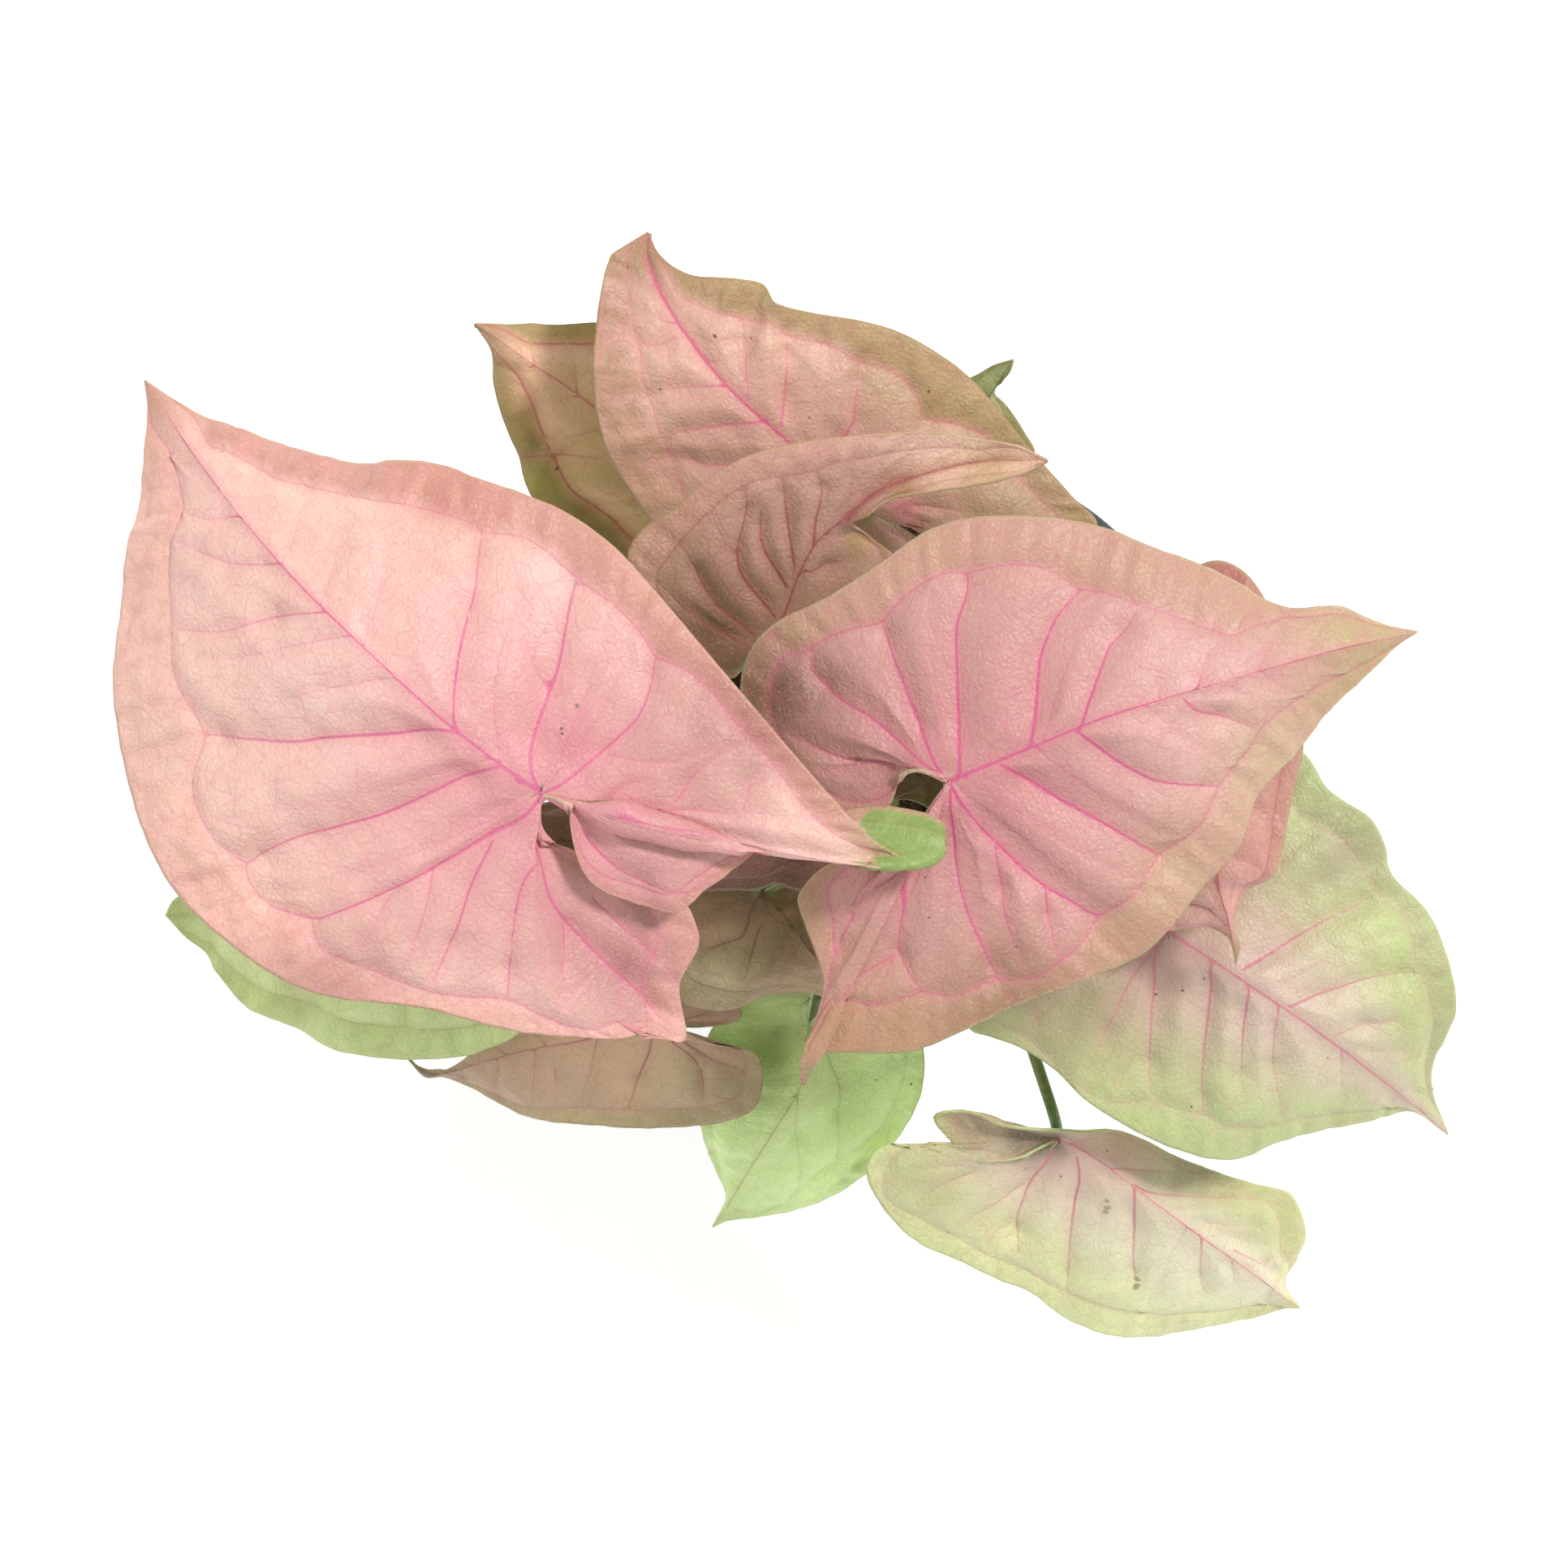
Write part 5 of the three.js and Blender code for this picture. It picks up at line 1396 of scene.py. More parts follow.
# Leaf at the top
# A thin pink-tan blade on a lower stalk at the back, with an olive-gold outer band on its right and
# dark pin specks. Its lobes reach in under the large right leaf.
grow_leaf(
    name="leaf_top", slot="leaf_pink",
    rib=[
        (1025, 594, 183), (965, 540, 186), (900, 480, 188), (840, 405, 187), (800, 330, 184),
        (798, 285, 181)],
    left=[
        (1150, 674, 170, 1103, 646, 174.5), (1142, 712, 168), (1085, 748, 168), (1000, 770, 168),
        (900, 750, 170), (840, 700, 174), (800, 640, 178), (765, 590, 180), (745, 550, 183),
        (733, 500, 184), (730, 450, 186), (735, 395, 186), (742, 350, 187), (748, 325, 185),
        (758, 308, 185)],
    right=[
        (1140, 662, 175, 1094, 634, 178), (1200, 690, 172), (1270, 700, 170), (1330, 680, 170),
        (1352, 645, 172), (1320, 610, 175), (1280, 565, 177), (1235, 510, 181), (1200, 470, 182),
        (1160, 438, 185), (1110, 410, 186), (1060, 395, 189), (1000, 385, 189), (955, 372, 191),
        (940, 350, 189), (905, 343, 190), (860, 340, 187), (830, 328, 186), (808, 308, 184)],
    cell=0.74, lateral=0.6, filler=0.34, ring_power=0.55, inner_share=0.4, furrow=4.0, heart_reach=24,
    tip_reach=10,
    collective=[
        [(773, 302), (774, 334), (780, 399), (789, 437), (790, 469), (799, 488), (808, 522), (822, 563),
         (837, 598)],
        [(831, 358), (846, 370), (899, 390), (952, 399), (972, 414), (1002, 420), (1031, 428), (1051, 443),
         (1066, 448), (1092, 452), (1109, 464), (1126, 481), (1138, 500), (1138, 528)]],
    veins=[
        (0.7, [(922, 493), (916, 443), (914, 396)]),
        (0.75, [(963, 525), (969, 475), (972, 414)]),
        (0.8, [(1010, 580), (1051, 528), (1056, 505), (1062, 449)]),
        (0.6, [(1064, 628), (1090, 620), (1116, 625), (1150, 627), (1188, 632)]),
        (0.5, [(1064, 628), (1092, 621), (1121, 639), (1150, 649)]),
        (0.6, [(834, 415), (805, 424), (767, 415), (738, 417)]),
        (0.7, [(893, 475), (837, 478), (804, 490)]),
        (0.75, [(946, 519), (896, 525), (837, 535), (820, 546)]),
        (0.6, [(930, 575), (875, 575), (823, 569), (779, 587)])],
    marks=[
        (880, 411, 0.45, (70, 50, 36)), (925, 415, 0.4, (70, 50, 36)), (997, 516, 0.4, (70, 50, 36)),
        (1144, 484, 0.45, (70, 50, 36)), (815, 482, 0.35, (80, 60, 44))],
    patches=[
        (785, 312, 34, (168, 138, 96), 0.7), (880, 560, 60, (214, 150, 146), 0.35),
        (1235, 625, 50, (150, 116, 90), 0.5), (1067, 635, 9, (92, 146, 58), 0.95),
        (1115, 632, 22, (196, 100, 118), 0.75), (1110, 470, 60, (180, 156, 110), 0.7),
        (1250, 620, 90, (182, 156, 118), 0.7), (880, 540, 60, (204, 156, 142), 0.5),
        (960, 350, 60, (176, 158, 96), 0.6), (1210, 500, 70, (184, 164, 108), 0.6)],
    colours=dict(
        field=(236, 194, 173), inner=(220, 166, 154), heart=(204, 154, 142), left_band=(206, 160, 138),
        right_band=(188, 164, 110), tip=(136, 110, 66), mottle=(194, 150, 130), light=(232, 200, 182),
        vein=(220, 104, 140), halo=(226, 146, 150), speck=(92, 66, 48), rim=(176, 150, 104),
        under=(120, 140, 72), under_light=(152, 168, 100), under_vein=(186, 190, 140)))

# Folded leaf in the centre
# A younger, redder-brown blade that folds up along its midrib and lies against its neighbours. It is
# one thin sheet on a stalk from the same stem as the largest leaf.
grow_leaf(
    name="leaf_centre_folded", slot="leaf_pink",
    rib=[
        (966, 757, 190), (985, 708, 195), (1005, 672, 198), (1035, 645, 200), (1070, 613, 201),
        (1110, 593, 202), (1200, 570, 203), (1292, 568, 206)],
    left=[
        (905, 835, 183, 925, 815, 185), (870, 830, 184), (835, 790, 188), (800, 745, 191), (778, 705, 193),
        (775, 675, 195), (800, 645, 197), (830, 628, 199), (870, 592, 201), (920, 562, 203),
        (980, 546, 204), (1040, 538, 205), (1100, 533, 206), (1160, 533, 206), (1200, 541, 206),
        (1245, 549, 207)],
    right=[
        (975, 830, 183, 955, 812, 185), (1020, 825, 184), (1065, 790, 186), (1096, 740, 188),
        (1106, 692, 191), (1076, 664, 195), (1049, 652, 200), (1060, 638, 203), (1095, 614, 205),
        (1150, 605, 206), (1200, 597, 207), (1245, 587, 207)],
    calm=[(856, 774, 24)],
    cell=0.7, band_share=0.85, lateral=0.8, ring_power=0.4, rib_power=0.72, halo_width=1.2,
    inner_share=0.4, furrow=2.0, depth=2.2, pleat=0.2, heart_reach=20, tip_reach=14,
    collective=[
        [(809, 708), (840, 666), (859, 643), (876, 631), (903, 604), (942, 590), (965, 588), (1009, 579),
         (1026, 571), (1056, 566), (1092, 559), (1135, 553), (1176, 553), (1212, 556)],
        [(1123, 598), (1154, 591), (1188, 586), (1260, 578)]],
    veins=[
        (0.7, [(1003, 671), (1004, 648), (1012, 609), (1007, 579)]),
        (0.75, [(979, 700), (970, 648), (964, 590)]),
        (0.75, [(970, 725), (955, 703), (940, 678), (936, 653), (938, 629)]),
        (0.75, [(955, 759), (923, 725), (910, 700), (910, 673), (920, 624), (917, 604)]),
        (0.4, [(908, 688), (893, 668), (877, 634)]),
        (0.7, [(930, 782), (908, 767), (883, 747), (864, 720), (851, 693), (839, 671)]),
        (0.6, [(918, 794), (883, 777), (854, 759), (814, 722), (809, 708)]),
        (0.4, [(1047, 625), (1051, 570)]),
        (0.6, [(990, 704), (1004, 705), (1019, 698), (1041, 692)])],
    # The dark brown patch where the largest leaf's edge meets this blade is painted shade for the crevice
    # there.
    patches=[
        (880, 600, 50, (218, 164, 150), 0.6), (1180, 555, 80, (252, 218, 194), 0.85),
        (872, 775, 56, (90, 66, 42), 0.9), (1058, 672, 16, (176, 150, 84), 0.6),
        (1110, 611, 30, (176, 140, 98), 0.8), (1220, 588, 40, (206, 184, 128), 0.6)],
    # The pale tip colour and the pale patch near the tip are painted light, which offsets the shade on the
    # tip where it faces away from the main lamp.
    colours=dict(
        field=(204, 160, 146), inner=(196, 146, 138), heart=(172, 124, 108), left_band=(220, 166, 152),
        right_band=(166, 126, 92), tip=(248, 208, 184), mottle=(174, 126, 108), light=(220, 180, 164),
        vein=(160, 84, 88), halo=(186, 124, 114), speck=(92, 64, 48), rim=(196, 164, 124),
        under=(118, 136, 70), under_light=(150, 164, 98), under_vein=(182, 186, 136)))

# Olive leaf at the top left
# An older, lower blade that has gone olive brown, with rose left around its midrib. It shares a stem
# with the largest leaf, and the leaf at the top covers most of it.
grow_leaf(
    name="leaf_top_left", slot="leaf_olive",
    rib=[(730, 500, 166), (655, 448, 170), (610, 415, 170), (583, 398, 168)],
    left=[
        (880, 660, 148, 868, 625, 152), (850, 700, 148), (790, 700, 150), (740, 680, 152), (690, 650, 156),
        (655, 612, 160), (632, 550, 162), (615, 500, 165), (606, 465, 166), (600, 430, 168)],
    right=[
        (905, 590, 150, 875, 600, 153), (910, 540, 152), (890, 480, 156), (850, 430, 160), (800, 405, 163),
        (740, 397, 165), (690, 399, 168), (640, 396, 168)],
    spacing=8, band_share=0.8, filler=0.42, ring_power=0.7, rib_power=1.0, vein_reach=25, furrow=3.3,
    depth=3.0, pleat=0.18, heart_reach=18, tip_reach=8,
    collective=[
        [(633, 462), (645, 484), (661, 518), (665, 538), (679, 562), (703, 606), (723, 624), (755, 642)],
        [(649, 419), (675, 421), (703, 421)]],
    veins=[
        (0.6, [(640, 565), (681, 564), (705, 564), (743, 566)])],
    patches=[
        (690, 455, 40, (244, 202, 164), 0.6), (596, 408, 22, (150, 132, 90), 0.7),
        (660, 600, 50, (206, 190, 112), 0.7)],
    # Its field and inner colours are painted lighter than the blade's own, to offset the shade that the
    # leaf at the top casts on it.
    colours=dict(
        field=(244, 197, 162), inner=(255, 204, 180), heart=(224, 184, 140), left_band=(130, 122, 64),
        right_band=(174, 162, 96), tip=(136, 138, 78), mottle=(206, 146, 122), light=(194, 164, 128),
        vein=(208, 116, 120), halo=(240, 166, 154), speck=(80, 60, 42), rim=(176, 156, 110),
        under=(112, 128, 64), under_light=(142, 156, 92), under_vein=(176, 180, 128)))

# Small leaf behind, right of the top
# A small thin olive blade of which only the pale tip clears its neighbours. It grows from the same
# stem as the leaf at the top.
grow_leaf(
    name="leaf_top_right_small", slot="leaf_olive",
    rib=[(1190, 530, 160), (1225, 480, 168), (1248, 443, 174)],
    left=[
        (1115, 625, 146, 1135, 615, 149), (1090, 580, 148), (1100, 520, 155), (1150, 480, 160),
        (1195, 466, 167), (1222, 452, 171)],
    right=[
        (1190, 640, 146, 1165, 620, 149), (1240, 610, 149), (1275, 565, 154), (1262, 532, 158),
        (1243, 503, 162), (1226, 484, 167), (1242, 460, 172)],
    spacing=12, band_share=0.82, filler=0.35, ring_power=0.4, rib_power=0.7, vein_reach=20, furrow=2.9,
    depth=2.12, pleat=0.16, heart_reach=14, tip_reach=13,
    patches=[(1225, 465, 40, (212, 222, 164), 0.75)],
    # Its dark tan bands are the olive blade darkened with painted shade, where the leaf at the top covers
    # its margin.
    colours=dict(
        field=(220, 190, 140), inner=(164, 136, 104), heart=(150, 118, 88), left_band=(158, 140, 96),
        right_band=(158, 140, 96), tip=(222, 252, 186), mottle=(148, 122, 84), light=(190, 168, 128),
        vein=(124, 88, 62), halo=(146, 116, 82), speck=(80, 60, 42), rim=(172, 160, 110),
        under=(112, 128, 64), under_light=(142, 156, 92), under_vein=(176, 180, 128)))

# Coral leaf on the right
# A narrow coral-pink blade on a stalk under the large right leaf. It is one thin waved sheet with a
# curled green tip.
grow_leaf(
    name="leaf_right_coral", slot="leaf_pink",
    rib=[(1490, 980, 190), (1500, 1080, 188), (1515, 1140, 182), (1523, 1190, 174)],
    left=[
        (1482, 800, 181, 1484, 850, 184), (1470, 760, 179), (1458, 712, 180), (1500, 691, 181),
        (1540, 712, 182), (1575, 770, 184), (1603, 850, 186), (1606, 920, 186), (1592, 985, 185),
        (1572, 1075, 184), (1540, 1098, 182), (1524, 1140, 180), (1530, 1165, 177)],
    right=[
        (1445, 840, 180, 1463, 868, 184), (1400, 870, 178), (1370, 950, 178), (1380, 1050, 178),
        (1415, 1120, 178), (1440, 1149, 179), (1480, 1146, 180), (1512, 1157, 179)],
    cell=0.78, filler=0.4, inner_share=0.4, furrow=3.3, pleat=0.2,
    veins=[
        (0.6, [(1497, 1086), (1507, 1113), (1514, 1127)]),
        (0.6, [(1459, 1117), (1487, 1125), (1514, 1144)]),
        (0.5, [(1442, 1151), (1469, 1148), (1514, 1155)])],
    patches=[
        (1570, 1000, 60, (220, 166, 152), 0.6), (1465, 1120, 54, (252, 202, 190), 0.85),
        (1510, 712, 50, (192, 114, 106), 0.8), (1522, 1182, 18, (130, 156, 88), 0.95)],
    colours=dict(
        field=(218, 160, 150), inner=(222, 160, 154), heart=(204, 140, 132), left_band=(220, 166, 150),
        right_band=(208, 158, 140), tip=(164, 156, 112), mottle=(200, 142, 128), light=(236, 196, 184),
        vein=(190, 104, 108), halo=(200, 128, 122), speck=(110, 80, 60), rim=(200, 178, 136),
        under=(128, 146, 78), under_light=(158, 172, 104), under_vein=(190, 192, 142)))

# Lower right leaf
# A low broad blade, rose at the centre and pale green outside, with rose veins that fade towards the
# margin. It is one thin sheet that droops from a stalk at the front right.
grow_leaf(
    name="leaf_lower_right", slot="leaf_green",
    rib=[(1530, 1208, 166), (1620, 1270, 162), (1700, 1330, 150), (1750, 1370, 139), (1784, 1397, 130)],
    left=[
        (1425, 1095, 159, 1430, 1123, 161), (1440, 1050, 158), (1480, 1000, 159), (1540, 950, 160),
        (1600, 925, 161), (1632, 967, 162), (1650, 983, 161), (1690, 1010, 161), (1707, 1045, 158),
        (1715, 1078, 158), (1760, 1125, 156), (1783, 1180, 155), (1794, 1237, 152), (1785, 1270, 149),
        (1768, 1310, 145), (1767, 1342, 140), (1778, 1376, 134)],
    right=[
        (1392, 1142, 160, 1418, 1146, 162), (1330, 1150, 160), (1260, 1190, 160), (1200, 1240, 160),
        (1195, 1268, 159), (1225, 1279, 159), (1260, 1293, 159), (1300, 1320, 158), (1340, 1358, 155),
        (1400, 1394, 152), (1440, 1412, 150), (1490, 1427, 149), (1530, 1426, 146), (1570, 1408, 146),
        (1620, 1394, 143), (1680, 1383, 140), (1725, 1373, 137), (1752, 1379, 134)],
    cell=0.74, lateral=0.72, filler=0.34, halo_width=4.6, inner_share=0.62, furrow=4.0, depth=2.87,
    heart_reach=22, tip_reach=12,
    collective=[
        [(1596, 999), (1629, 1021), (1648, 1030), (1669, 1049), (1697, 1094), (1732, 1132), (1744, 1163),
         (1749, 1195), (1761, 1219), (1766, 1247)],
        [(1236, 1267), (1264, 1278), (1320, 1332), (1348, 1351), (1376, 1360), (1401, 1361), (1418, 1349),
         (1438, 1365), (1482, 1376), (1516, 1392), (1572, 1389), (1584, 1384), (1652, 1375), (1721, 1368)]],
    veins=[
        (0.85, [(1531, 1195), (1562, 1177), (1617, 1143), (1669, 1117), (1694, 1104)]),
        (0.35, [(1562, 1146), (1610, 1104), (1635, 1084)]),
        (0.5, [(1500, 1120), (1569, 1070), (1610, 1035), (1629, 1021)]),
        (0.8, [(1590, 1241), (1645, 1221), (1694, 1205), (1747, 1198)]),
        (0.35, [(1583, 1212), (1617, 1191), (1652, 1172), (1721, 1148)]),
        (0.6, [(1645, 1278), (1673, 1269), (1723, 1260)]),
        (0.35, [(1680, 1299), (1746, 1295)]),
        (0.75, [(1440, 1148), (1424, 1174), (1424, 1214), (1419, 1256), (1417, 1320), (1418, 1348)]),
        (0.8, [(1491, 1189), (1489, 1222), (1482, 1298), (1480, 1337), (1481, 1376)]),
        (0.75, [(1539, 1219), (1531, 1281), (1532, 1350)]),
        (0.6, [(1576, 1241), (1571, 1302), (1579, 1368), (1584, 1383)]),
        (0.45, [(1655, 1299), (1654, 1361)]),
        (0.7, [(1440, 1148), (1415, 1180), (1393, 1214), (1365, 1273), (1342, 1320)]),
        (0.35, [(1398, 1304), (1387, 1323), (1376, 1351)]),
        (0.55, [(1440, 1148), (1330, 1205), (1281, 1245), (1275, 1262), (1264, 1278)])],
    marks=[
        (1422, 1225, 0.4, (64, 52, 36)), (1455, 1221, 0.4, (64, 52, 36)), (1640, 1303, 0.4, (64, 52, 36)),
        (1468, 1363, 0.4, (64, 52, 36)), (1486, 1207, 0.35, (64, 52, 36))],
    patches=[
        (1310, 1240, 60, (150, 148, 118), 0.45), (1490, 1330, 60, (206, 226, 156), 0.35),
        (1540, 1250, 90, (238, 214, 202), 0.6), (1490, 1370, 80, (200, 220, 152), 0.7),
        (1690, 1050, 60, (178, 192, 132), 0.7), (1780, 1200, 60, (180, 194, 128), 0.7),
        (1640, 1060, 50, (180, 176, 142), 0.6), (1310, 1240, 80, (160, 150, 114), 0.6)],
    colours=dict(
        field=(200, 222, 146), inner=(234, 210, 198), heart=(206, 156, 152), left_band=(180, 196, 136),
        right_band=(190, 214, 138), tip=(206, 204, 160), mottle=(192, 178, 146), light=(226, 218, 194),
        vein=(214, 132, 148), halo=(206, 158, 158), speck=(84, 70, 46), rim=(206, 214, 160),
        under=(128, 152, 76), under_light=(158, 178, 106), under_vein=(192, 200, 146)))

# Bottom right leaf
# The lowest blade, cream and rose inside and yellow green outside. Its back lobes fold over into an
# ear beside the joint, and its stalk bends out over the pot's rim.
SCAR_COLOUR = (164, 150, 112)

grow_leaf(
    name="leaf_bottom_right", slot="leaf_green",
    rib=[(1345, 1425, 140), (1400, 1466, 137), (1480, 1525, 129), (1550, 1575, 116), (1602, 1612, 101)],
    left=[
        (1264, 1424, 139, 1285, 1412, 139), (1232, 1431, 137), (1203, 1431, 136), (1178, 1413, 136),
        (1150, 1380, 136), (1163, 1370, 138), (1200, 1373, 140), (1230, 1386, 142), (1265, 1391, 143),
        (1305, 1393, 143), (1345, 1395, 141), (1375, 1392, 139), (1410, 1404, 136), (1450, 1424, 132),
        (1500, 1443, 126), (1545, 1458, 121), (1588, 1470, 115), (1604, 1500, 111), (1607, 1525, 108),
        (1598, 1553, 106), (1587, 1580, 104)],
    right=[
        (1256, 1441, 133, 1282, 1428, 135), (1232, 1446, 132), (1216, 1452, 131), (1198, 1435, 132),
        (1170, 1421, 133), (1140, 1421, 133), (1112, 1409, 133), (1085, 1413, 132), (1069, 1432, 131),
        (1070, 1457, 130), (1090, 1492, 127), (1130, 1530, 123), (1180, 1552, 120), (1230, 1576, 116),
        (1270, 1592, 114), (1310, 1622, 110), (1360, 1643, 109), (1410, 1647, 106), (1480, 1636, 105),
        (1540, 1624, 102), (1582, 1615, 102)],
    cell=0.72, lateral=0.68, filler=0.34, halo_width=3.6, inner_share=0.7, furrow=3.7, depth=2.87,
    heart_reach=18, tip_reach=10,
    collective=[
        [(1568, 1484), (1579, 1504), (1581, 1525), (1579, 1550)],
        [(1083, 1472), (1099, 1486), (1172, 1522), (1213, 1547), (1253, 1561), (1292, 1584), (1331, 1600),
         (1369, 1614), (1427, 1622), (1504, 1619), (1562, 1609)]],
    veins=[
        (0.8, [(1327, 1425), (1327, 1460), (1321, 1491), (1316, 1544), (1314, 1590)]),
        (0.8, [(1398, 1465), (1397, 1525), (1396, 1554), (1399, 1583)]),
        (0.7, [(1481, 1523), (1481, 1573), (1484, 1596)]),
        (0.5, [(1519, 1558), (1523, 1583)]),
        (0.3, [(1357, 1484), (1353, 1554)]),
        (0.75, [(1305, 1402), (1290, 1431), (1269, 1468), (1259, 1491), (1253, 1511), (1255, 1546)]),
        (0.5, [(1263, 1468), (1244, 1476), (1203, 1499), (1172, 1518)]),
        (0.4, [(1246, 1515), (1224, 1524), (1213, 1549)]),
        (0.5, [(1203, 1445), (1157, 1462), (1131, 1484)]),
        (0.4, [(1184, 1437), (1128, 1439)]),
        (0.65, [(1400, 1461), (1417, 1469), (1446, 1473), (1504, 1475), (1572, 1480)]),
        (0.4, [(1454, 1492), (1494, 1480)]),
        (0.5, [(1369, 1440), (1446, 1444), (1485, 1446)]),
        (0.4, [(1485, 1508), (1552, 1511)]),
        (0.7, [(1523, 1542), (1543, 1552), (1575, 1567)]),
        (0.4, [(1516, 1523), (1552, 1535)])],
    marks=[
        (1361, 1484, 0.85, SCAR_COLOUR), (1361, 1490, 0.95, SCAR_COLOUR),
        (1360, 1496, 0.85, SCAR_COLOUR), (1399, 1577, 0.8, SCAR_COLOUR),
        (1400, 1583, 0.9, SCAR_COLOUR), (1400, 1589, 0.8, SCAR_COLOUR),
        (1310, 1452, 0.4, (110, 96, 70)), (1289, 1525, 0.3, (90, 76, 54))],
    # The two very dark green patches by the ear give the green underside there, darkened with painted shade
    # for the gap beside the stalk.
    patches=[
        (1130, 1450, 70, (194, 202, 144), 0.75), (1480, 1450, 70, (136, 140, 80), 0.78),
        (1380, 1630, 60, (238, 250, 180), 0.7), (1450, 1560, 70, (240, 242, 206), 0.5),
        (1196, 1392, 34, (120, 84, 66), 0.85), (1262, 1406, 30, (36, 74, 24), 1.0),
        (1296, 1404, 24, (36, 74, 24), 1.0), (1390, 1420, 40, (214, 152, 144), 0.5),
        (1570, 1500, 50, (176, 186, 118), 0.6)],
    # Its field, inner and right band colours are painted lighter than the blade's own, to offset the shade
    # of the leaves above it and of its tilt.
    colours=dict(
        field=(232, 244, 178), inner=(250, 244, 226), heart=(228, 190, 176), left_band=(206, 210, 146),
        right_band=(230, 242, 172), tip=(196, 206, 128), mottle=(208, 196, 158), light=(238, 232, 208),
        vein=(212, 132, 142), halo=(232, 184, 178), speck=(84, 70, 46), rim=(214, 224, 160),
        under=(134, 156, 80), under_light=(164, 182, 110), under_vein=(196, 204, 150)))

# Green leaf at the bottom
# An old thin blade that has turned plain green, with a dark sunken joint and a narrow hanging tip.
# Its stalk comes from the front left stem.
grow_leaf(
    name="leaf_bottom_green", slot="leaf_green",
    rib=[
        (996, 1300, 153), (985, 1345, 150), (955, 1395, 144), (925, 1440, 134), (903, 1475, 124),
        (878, 1512, 112)],
    left=[
        (1035, 1225, 152, 1015, 1245, 152), (1080, 1215, 150), (1120, 1240, 147), (1137, 1290, 142),
        (1138, 1330, 137), (1128, 1365, 133), (1105, 1402, 126), (1072, 1440, 121), (1030, 1470, 118),
        (985, 1488, 114), (940, 1500, 113), (903, 1506, 112)],
    right=[
        (986, 1238, 155, 988, 1250, 154), (1002, 1224, 155), (975, 1221, 156), (945, 1223, 156),
        (916, 1235, 154), (888, 1254, 151), (871, 1279, 147), (861, 1315, 143), (858, 1350, 140),
        (864, 1388, 136), (875, 1430, 128), (890, 1468, 120), (888, 1485, 116)],
    cell=0.76, lateral=0.6, filler=0.26, ring_power=0.4, rib_power=0.8, vein_reach=25, furrow=3.7,
    pleat=0.2, tip_reach=10,
    collective=[
        [(1033, 1430), (1012, 1445), (982, 1469), (965, 1486)]],
    veins=[
        (0.7, [(996, 1262), (1021, 1299), (1031, 1320), (1038, 1336), (1039, 1358), (1034, 1398),
            (1033, 1424)]),
        (0.6, [(985, 1345), (982, 1388), (984, 1413), (986, 1458)]),
        (0.35, [(986, 1326), (950, 1330)]),
        (0.4, [(1097, 1300), (1111, 1317)]),
        (0.5, [(996, 1262), (986, 1240), (965, 1237), (942, 1242), (922, 1251)])],
    marks=[(1077, 1332, 0.45, (56, 64, 34)), (1123, 1339, 0.4, (56, 64, 34))],
    patches=[
        (1060, 1400, 60, (176, 206, 112), 0.5), (957, 1274, 9, (84, 98, 52), 0.7),
        (953, 1300, 22, (128, 164, 80), 0.5), (960, 1270, 50, (150, 160, 98), 0.6)],
    # Its field and band colours are painted lighter than the blade's own, to offset the shade of the leaves
    # above it.
    colours=dict(
        field=(218, 244, 162), inner=(198, 214, 140), heart=(218, 238, 148), left_band=(224, 250, 164),
        right_band=(204, 224, 148), tip=(170, 190, 100), mottle=(180, 204, 124), light=(224, 238, 180),
        vein=(160, 180, 108), halo=(192, 204, 138), speck=(70, 76, 40), rim=(196, 210, 146),
        under=(126, 152, 70), under_light=(156, 178, 100), under_vein=(188, 200, 140)))

# Brown leaf at the lower left
# A narrow olive-brown blade with a hooked dark green tip, which droops over the pot's edge. Like the
# others it is one thin sheet on the end of its stalk.
grow_leaf(
    name="leaf_lower_left_brown", slot="leaf_olive",
    rib=[
        (720, 1283, 163), (640, 1298, 159), (580, 1315, 152), (545, 1325, 147), (526, 1325, 144),
        (503, 1306, 140)],
    left=[
        (850, 1280, 161, 830, 1272, 162), (890, 1288, 160), (922, 1293, 159), (937, 1305, 158),
        (940, 1335, 156), (930, 1365, 154), (905, 1378, 153), (870, 1386, 151), (800, 1390, 150),
        (740, 1387, 149), (680, 1382, 147), (640, 1372, 146), (600, 1352, 146), (570, 1338, 145),
        (545, 1331, 144), (522, 1329, 142)],
    right=[
        (855, 1263, 161, 832, 1262, 162), (885, 1263, 159), (908, 1258, 157), (914, 1247, 157),
        (900, 1236, 157), (860, 1225, 160), (800, 1200, 163), (740, 1200, 163), (680, 1220, 161),
        (620, 1255, 158), (580, 1295, 153), (558, 1312, 149), (540, 1320, 147), (522, 1316, 143)],
    cell=0.78, spacing=8, filler=0.45, ring_power=0.3, rib_power=0.8, vein_reach=25, furrow=3.6, depth=3.1,
    pleat=0.2,
    veins=[
        (0.7, [(812, 1262), (803, 1279), (800, 1300), (790, 1325), (775, 1365)]),
        (0.7, [(812, 1262), (827, 1282), (855, 1310), (864, 1334), (866, 1353)]),
        (0.6, [(812, 1262), (843, 1285), (873, 1307), (913, 1319)]),
        (0.4, [(683, 1319), (686, 1346)])],
    patches=[
        (905, 1340, 40, (176, 160, 118), 0.6), (830, 1330, 40, (214, 204, 160), 0.5),
        (870, 1250, 36, (232, 182, 168), 0.85), (512, 1318, 36, (46, 72, 18), 0.97)],
    colours=dict(
        field=(190, 160, 130), inner=(186, 150, 126), heart=(194, 158, 126), left_band=(186, 172, 128),
        right_band=(190, 160, 126), tip=(118, 132, 66), mottle=(178, 150, 112), light=(200, 178, 148),
        vein=(160, 106, 94), halo=(186, 136, 120), speck=(80, 60, 42), rim=(174, 160, 116),
        under=(114, 132, 66), under_light=(144, 158, 94), under_vein=(178, 184, 130)))

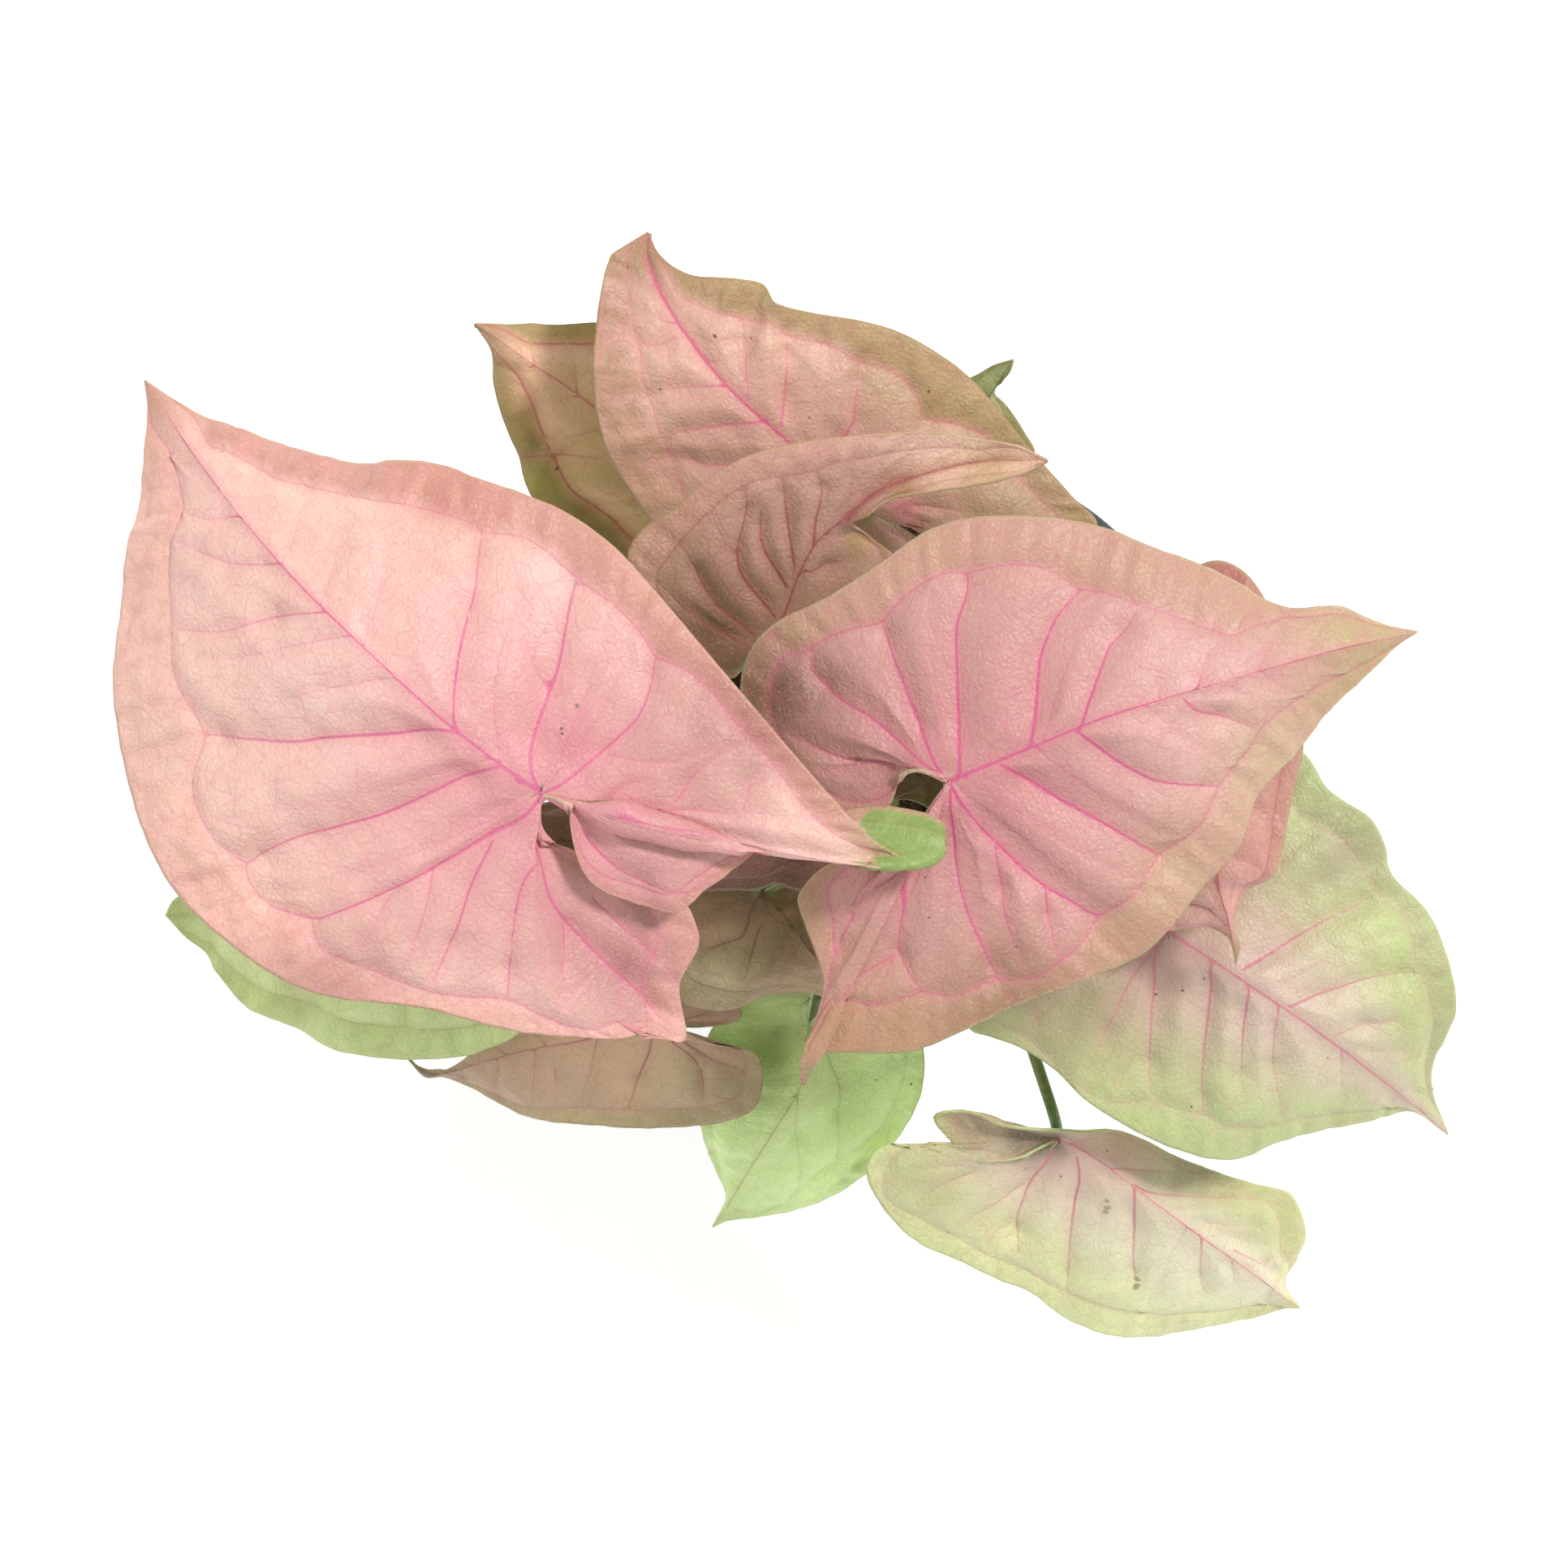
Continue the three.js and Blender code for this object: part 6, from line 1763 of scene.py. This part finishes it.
# Green leaf at the left
# A pale yellow-green blade under the largest leaf, which covers its joint. It is one thin sheet on a
# stalk from the front left stem.
grow_leaf(
    name="leaf_left_green", slot="leaf_green",
    rib=[(500, 1122, 176), (400, 1120, 175), (300, 1122, 170), (204, 1128, 162)],
    left=[
        (645, 1180, 170, 620, 1152, 171), (670, 1230, 168), (640, 1272, 167), (600, 1292, 166),
        (565, 1302, 165), (500, 1305, 165), (440, 1299, 165), (405, 1290, 166), (370, 1268, 166),
        (325, 1251, 167), (300, 1237, 166), (268, 1200, 167), (252, 1173, 166), (225, 1153, 165)],
    right=[
        (655, 1105, 170, 622, 1115, 171), (670, 1060, 170), (630, 1020, 171), (550, 1000, 172),
        (450, 1010, 172), (350, 1040, 169), (280, 1080, 167), (235, 1098, 165), (212, 1109, 163)],
    spacing=10, band_share=0.8, ring_power=0.45, rib_power=0.8, vein_reach=25, furrow=3.6, depth=2.58,
    heart_reach=18,
    veins=[
        (0.5, [(499, 1130), (499, 1250), (499, 1266), (482, 1269)]),
        (0.4, [(499, 1266), (536, 1274)])],
    patches=[
        (420, 1250, 70, (236, 252, 186), 0.5), (560, 1285, 60, (236, 250, 190), 0.5),
        (380, 1215, 30, (190, 172, 128), 0.5)],
    # Its near-white field and band colours are painted lighter than the blade's own, to offset the shade of
    # the largest leaf above it.
    colours=dict(
        field=(246, 253, 190), inner=(242, 250, 186), heart=(168, 178, 112), left_band=(226, 240, 162),
        right_band=(222, 234, 160), tip=(170, 184, 110), mottle=(206, 222, 142), light=(240, 250, 200),
        vein=(184, 200, 124), halo=(182, 184, 126), speck=(74, 78, 42), rim=(206, 216, 156),
        under=(126, 150, 70), under_light=(156, 176, 100), under_vein=(188, 198, 140)))

# Brown leaf in the centre
# A small shaded blade between the two large ones, one thin sheet with a green spot where its stalk
# joins it.
grow_leaf(
    name="leaf_centre_brown", slot="leaf_olive",
    rib=[(968, 1130, 175), (1000, 1175, 174), (1040, 1225, 168), (1075, 1268, 161)],
    left=[
        (965, 1089, 172, 953, 1093, 173), (990, 1095, 171), (1030, 1110, 170), (1070, 1150, 168),
        (1090, 1200, 165), (1090, 1240, 163)],
    right=[
        (885, 1092, 171, 915, 1096, 172), (835, 1088, 170), (800, 1110, 169), (800, 1160, 168),
        (818, 1210, 167), (840, 1235, 166), (878, 1245, 165), (912, 1241, 165), (945, 1227, 164),
        (980, 1223, 164), (1010, 1228, 163), (1038, 1252, 161)],
    spacing=8, band_share=0.82, filler=0.4, ring_power=0.4, rib_power=0.75, vein_reach=20, furrow=3.1,
    depth=2.44, pleat=0.18, heart_reach=14, tip_reach=8,
    veins=[
        (0.7, [(940, 1100), (932, 1109), (921, 1134), (914, 1153), (904, 1161), (869, 1172)]),
        (0.7, [(940, 1100), (944, 1116), (956, 1134), (973, 1144), (999, 1172), (1010, 1191)]),
        (0.6, [(939, 1137), (928, 1161), (918, 1205)])],
    patches=[
        (944, 1101, 9, (110, 140, 58), 0.85), (880, 1195, 44, (248, 228, 188), 0.75),
        (862, 1140, 36, (202, 146, 126), 0.7), (960, 1165, 30, (126, 104, 62), 0.5)],
    colours=dict(
        field=(186, 160, 118), inner=(184, 144, 116), heart=(132, 98, 74), left_band=(138, 114, 84),
        right_band=(186, 160, 120), tip=(140, 120, 86), mottle=(138, 108, 80), light=(186, 160, 130),
        vein=(128, 92, 68), halo=(138, 104, 80), speck=(70, 52, 38), rim=(164, 144, 102),
        under=(108, 124, 62), under_light=(136, 150, 88), under_vein=(170, 176, 124)))

# Deep leaf in the centre
# A shaded brown blade that lies under the folded lobe of the largest leaf. It is one thin sheet on a
# stalk from the front left stem.
grow_leaf(
    name="leaf_centre_deep", slot="leaf_olive",
    rib=[(950, 1020, 193), (850, 1030, 194), (740, 1035, 192), (640, 1038, 188), (560, 1040, 182)],
    left=[
        (1065, 1055, 186, 1050, 1030, 188), (1050, 1085, 184), (1015, 1085, 184), (985, 1097, 184),
        (955, 1089, 185), (930, 1097, 185), (870, 1098, 186), (800, 1118, 186), (720, 1115, 186),
        (650, 1085, 185), (600, 1060, 184)],
    right=[
        (1150, 1000, 185, 1104, 985, 187), (1166, 985, 184, 1104, 980, 187), (1163, 955, 184),
        (1130, 938, 185), (1080, 945, 187), (1020, 958, 188), (940, 962, 189), (860, 965, 188),
        (780, 975, 187), (700, 982, 186), (630, 1000, 185), (590, 1020, 184)],
    filler=0.35, ring_power=0.4, rib_power=0.75, vein_reach=20, furrow=3.1, depth=2.44, pleat=0.18,
    tip_reach=8,
    patches=[(1130, 975, 26, (132, 124, 84), 0.7)],
    colours=dict(
        field=(132, 82, 76), inner=(124, 80, 68), heart=(122, 84, 68), left_band=(110, 82, 62),
        right_band=(116, 90, 64), tip=(128, 102, 76), mottle=(120, 84, 66), light=(166, 130, 108),
        vein=(96, 58, 48), halo=(122, 84, 68), speck=(60, 44, 34), rim=(146, 124, 88),
        under=(100, 116, 58), under_light=(128, 142, 82), under_vein=(160, 168, 116)))
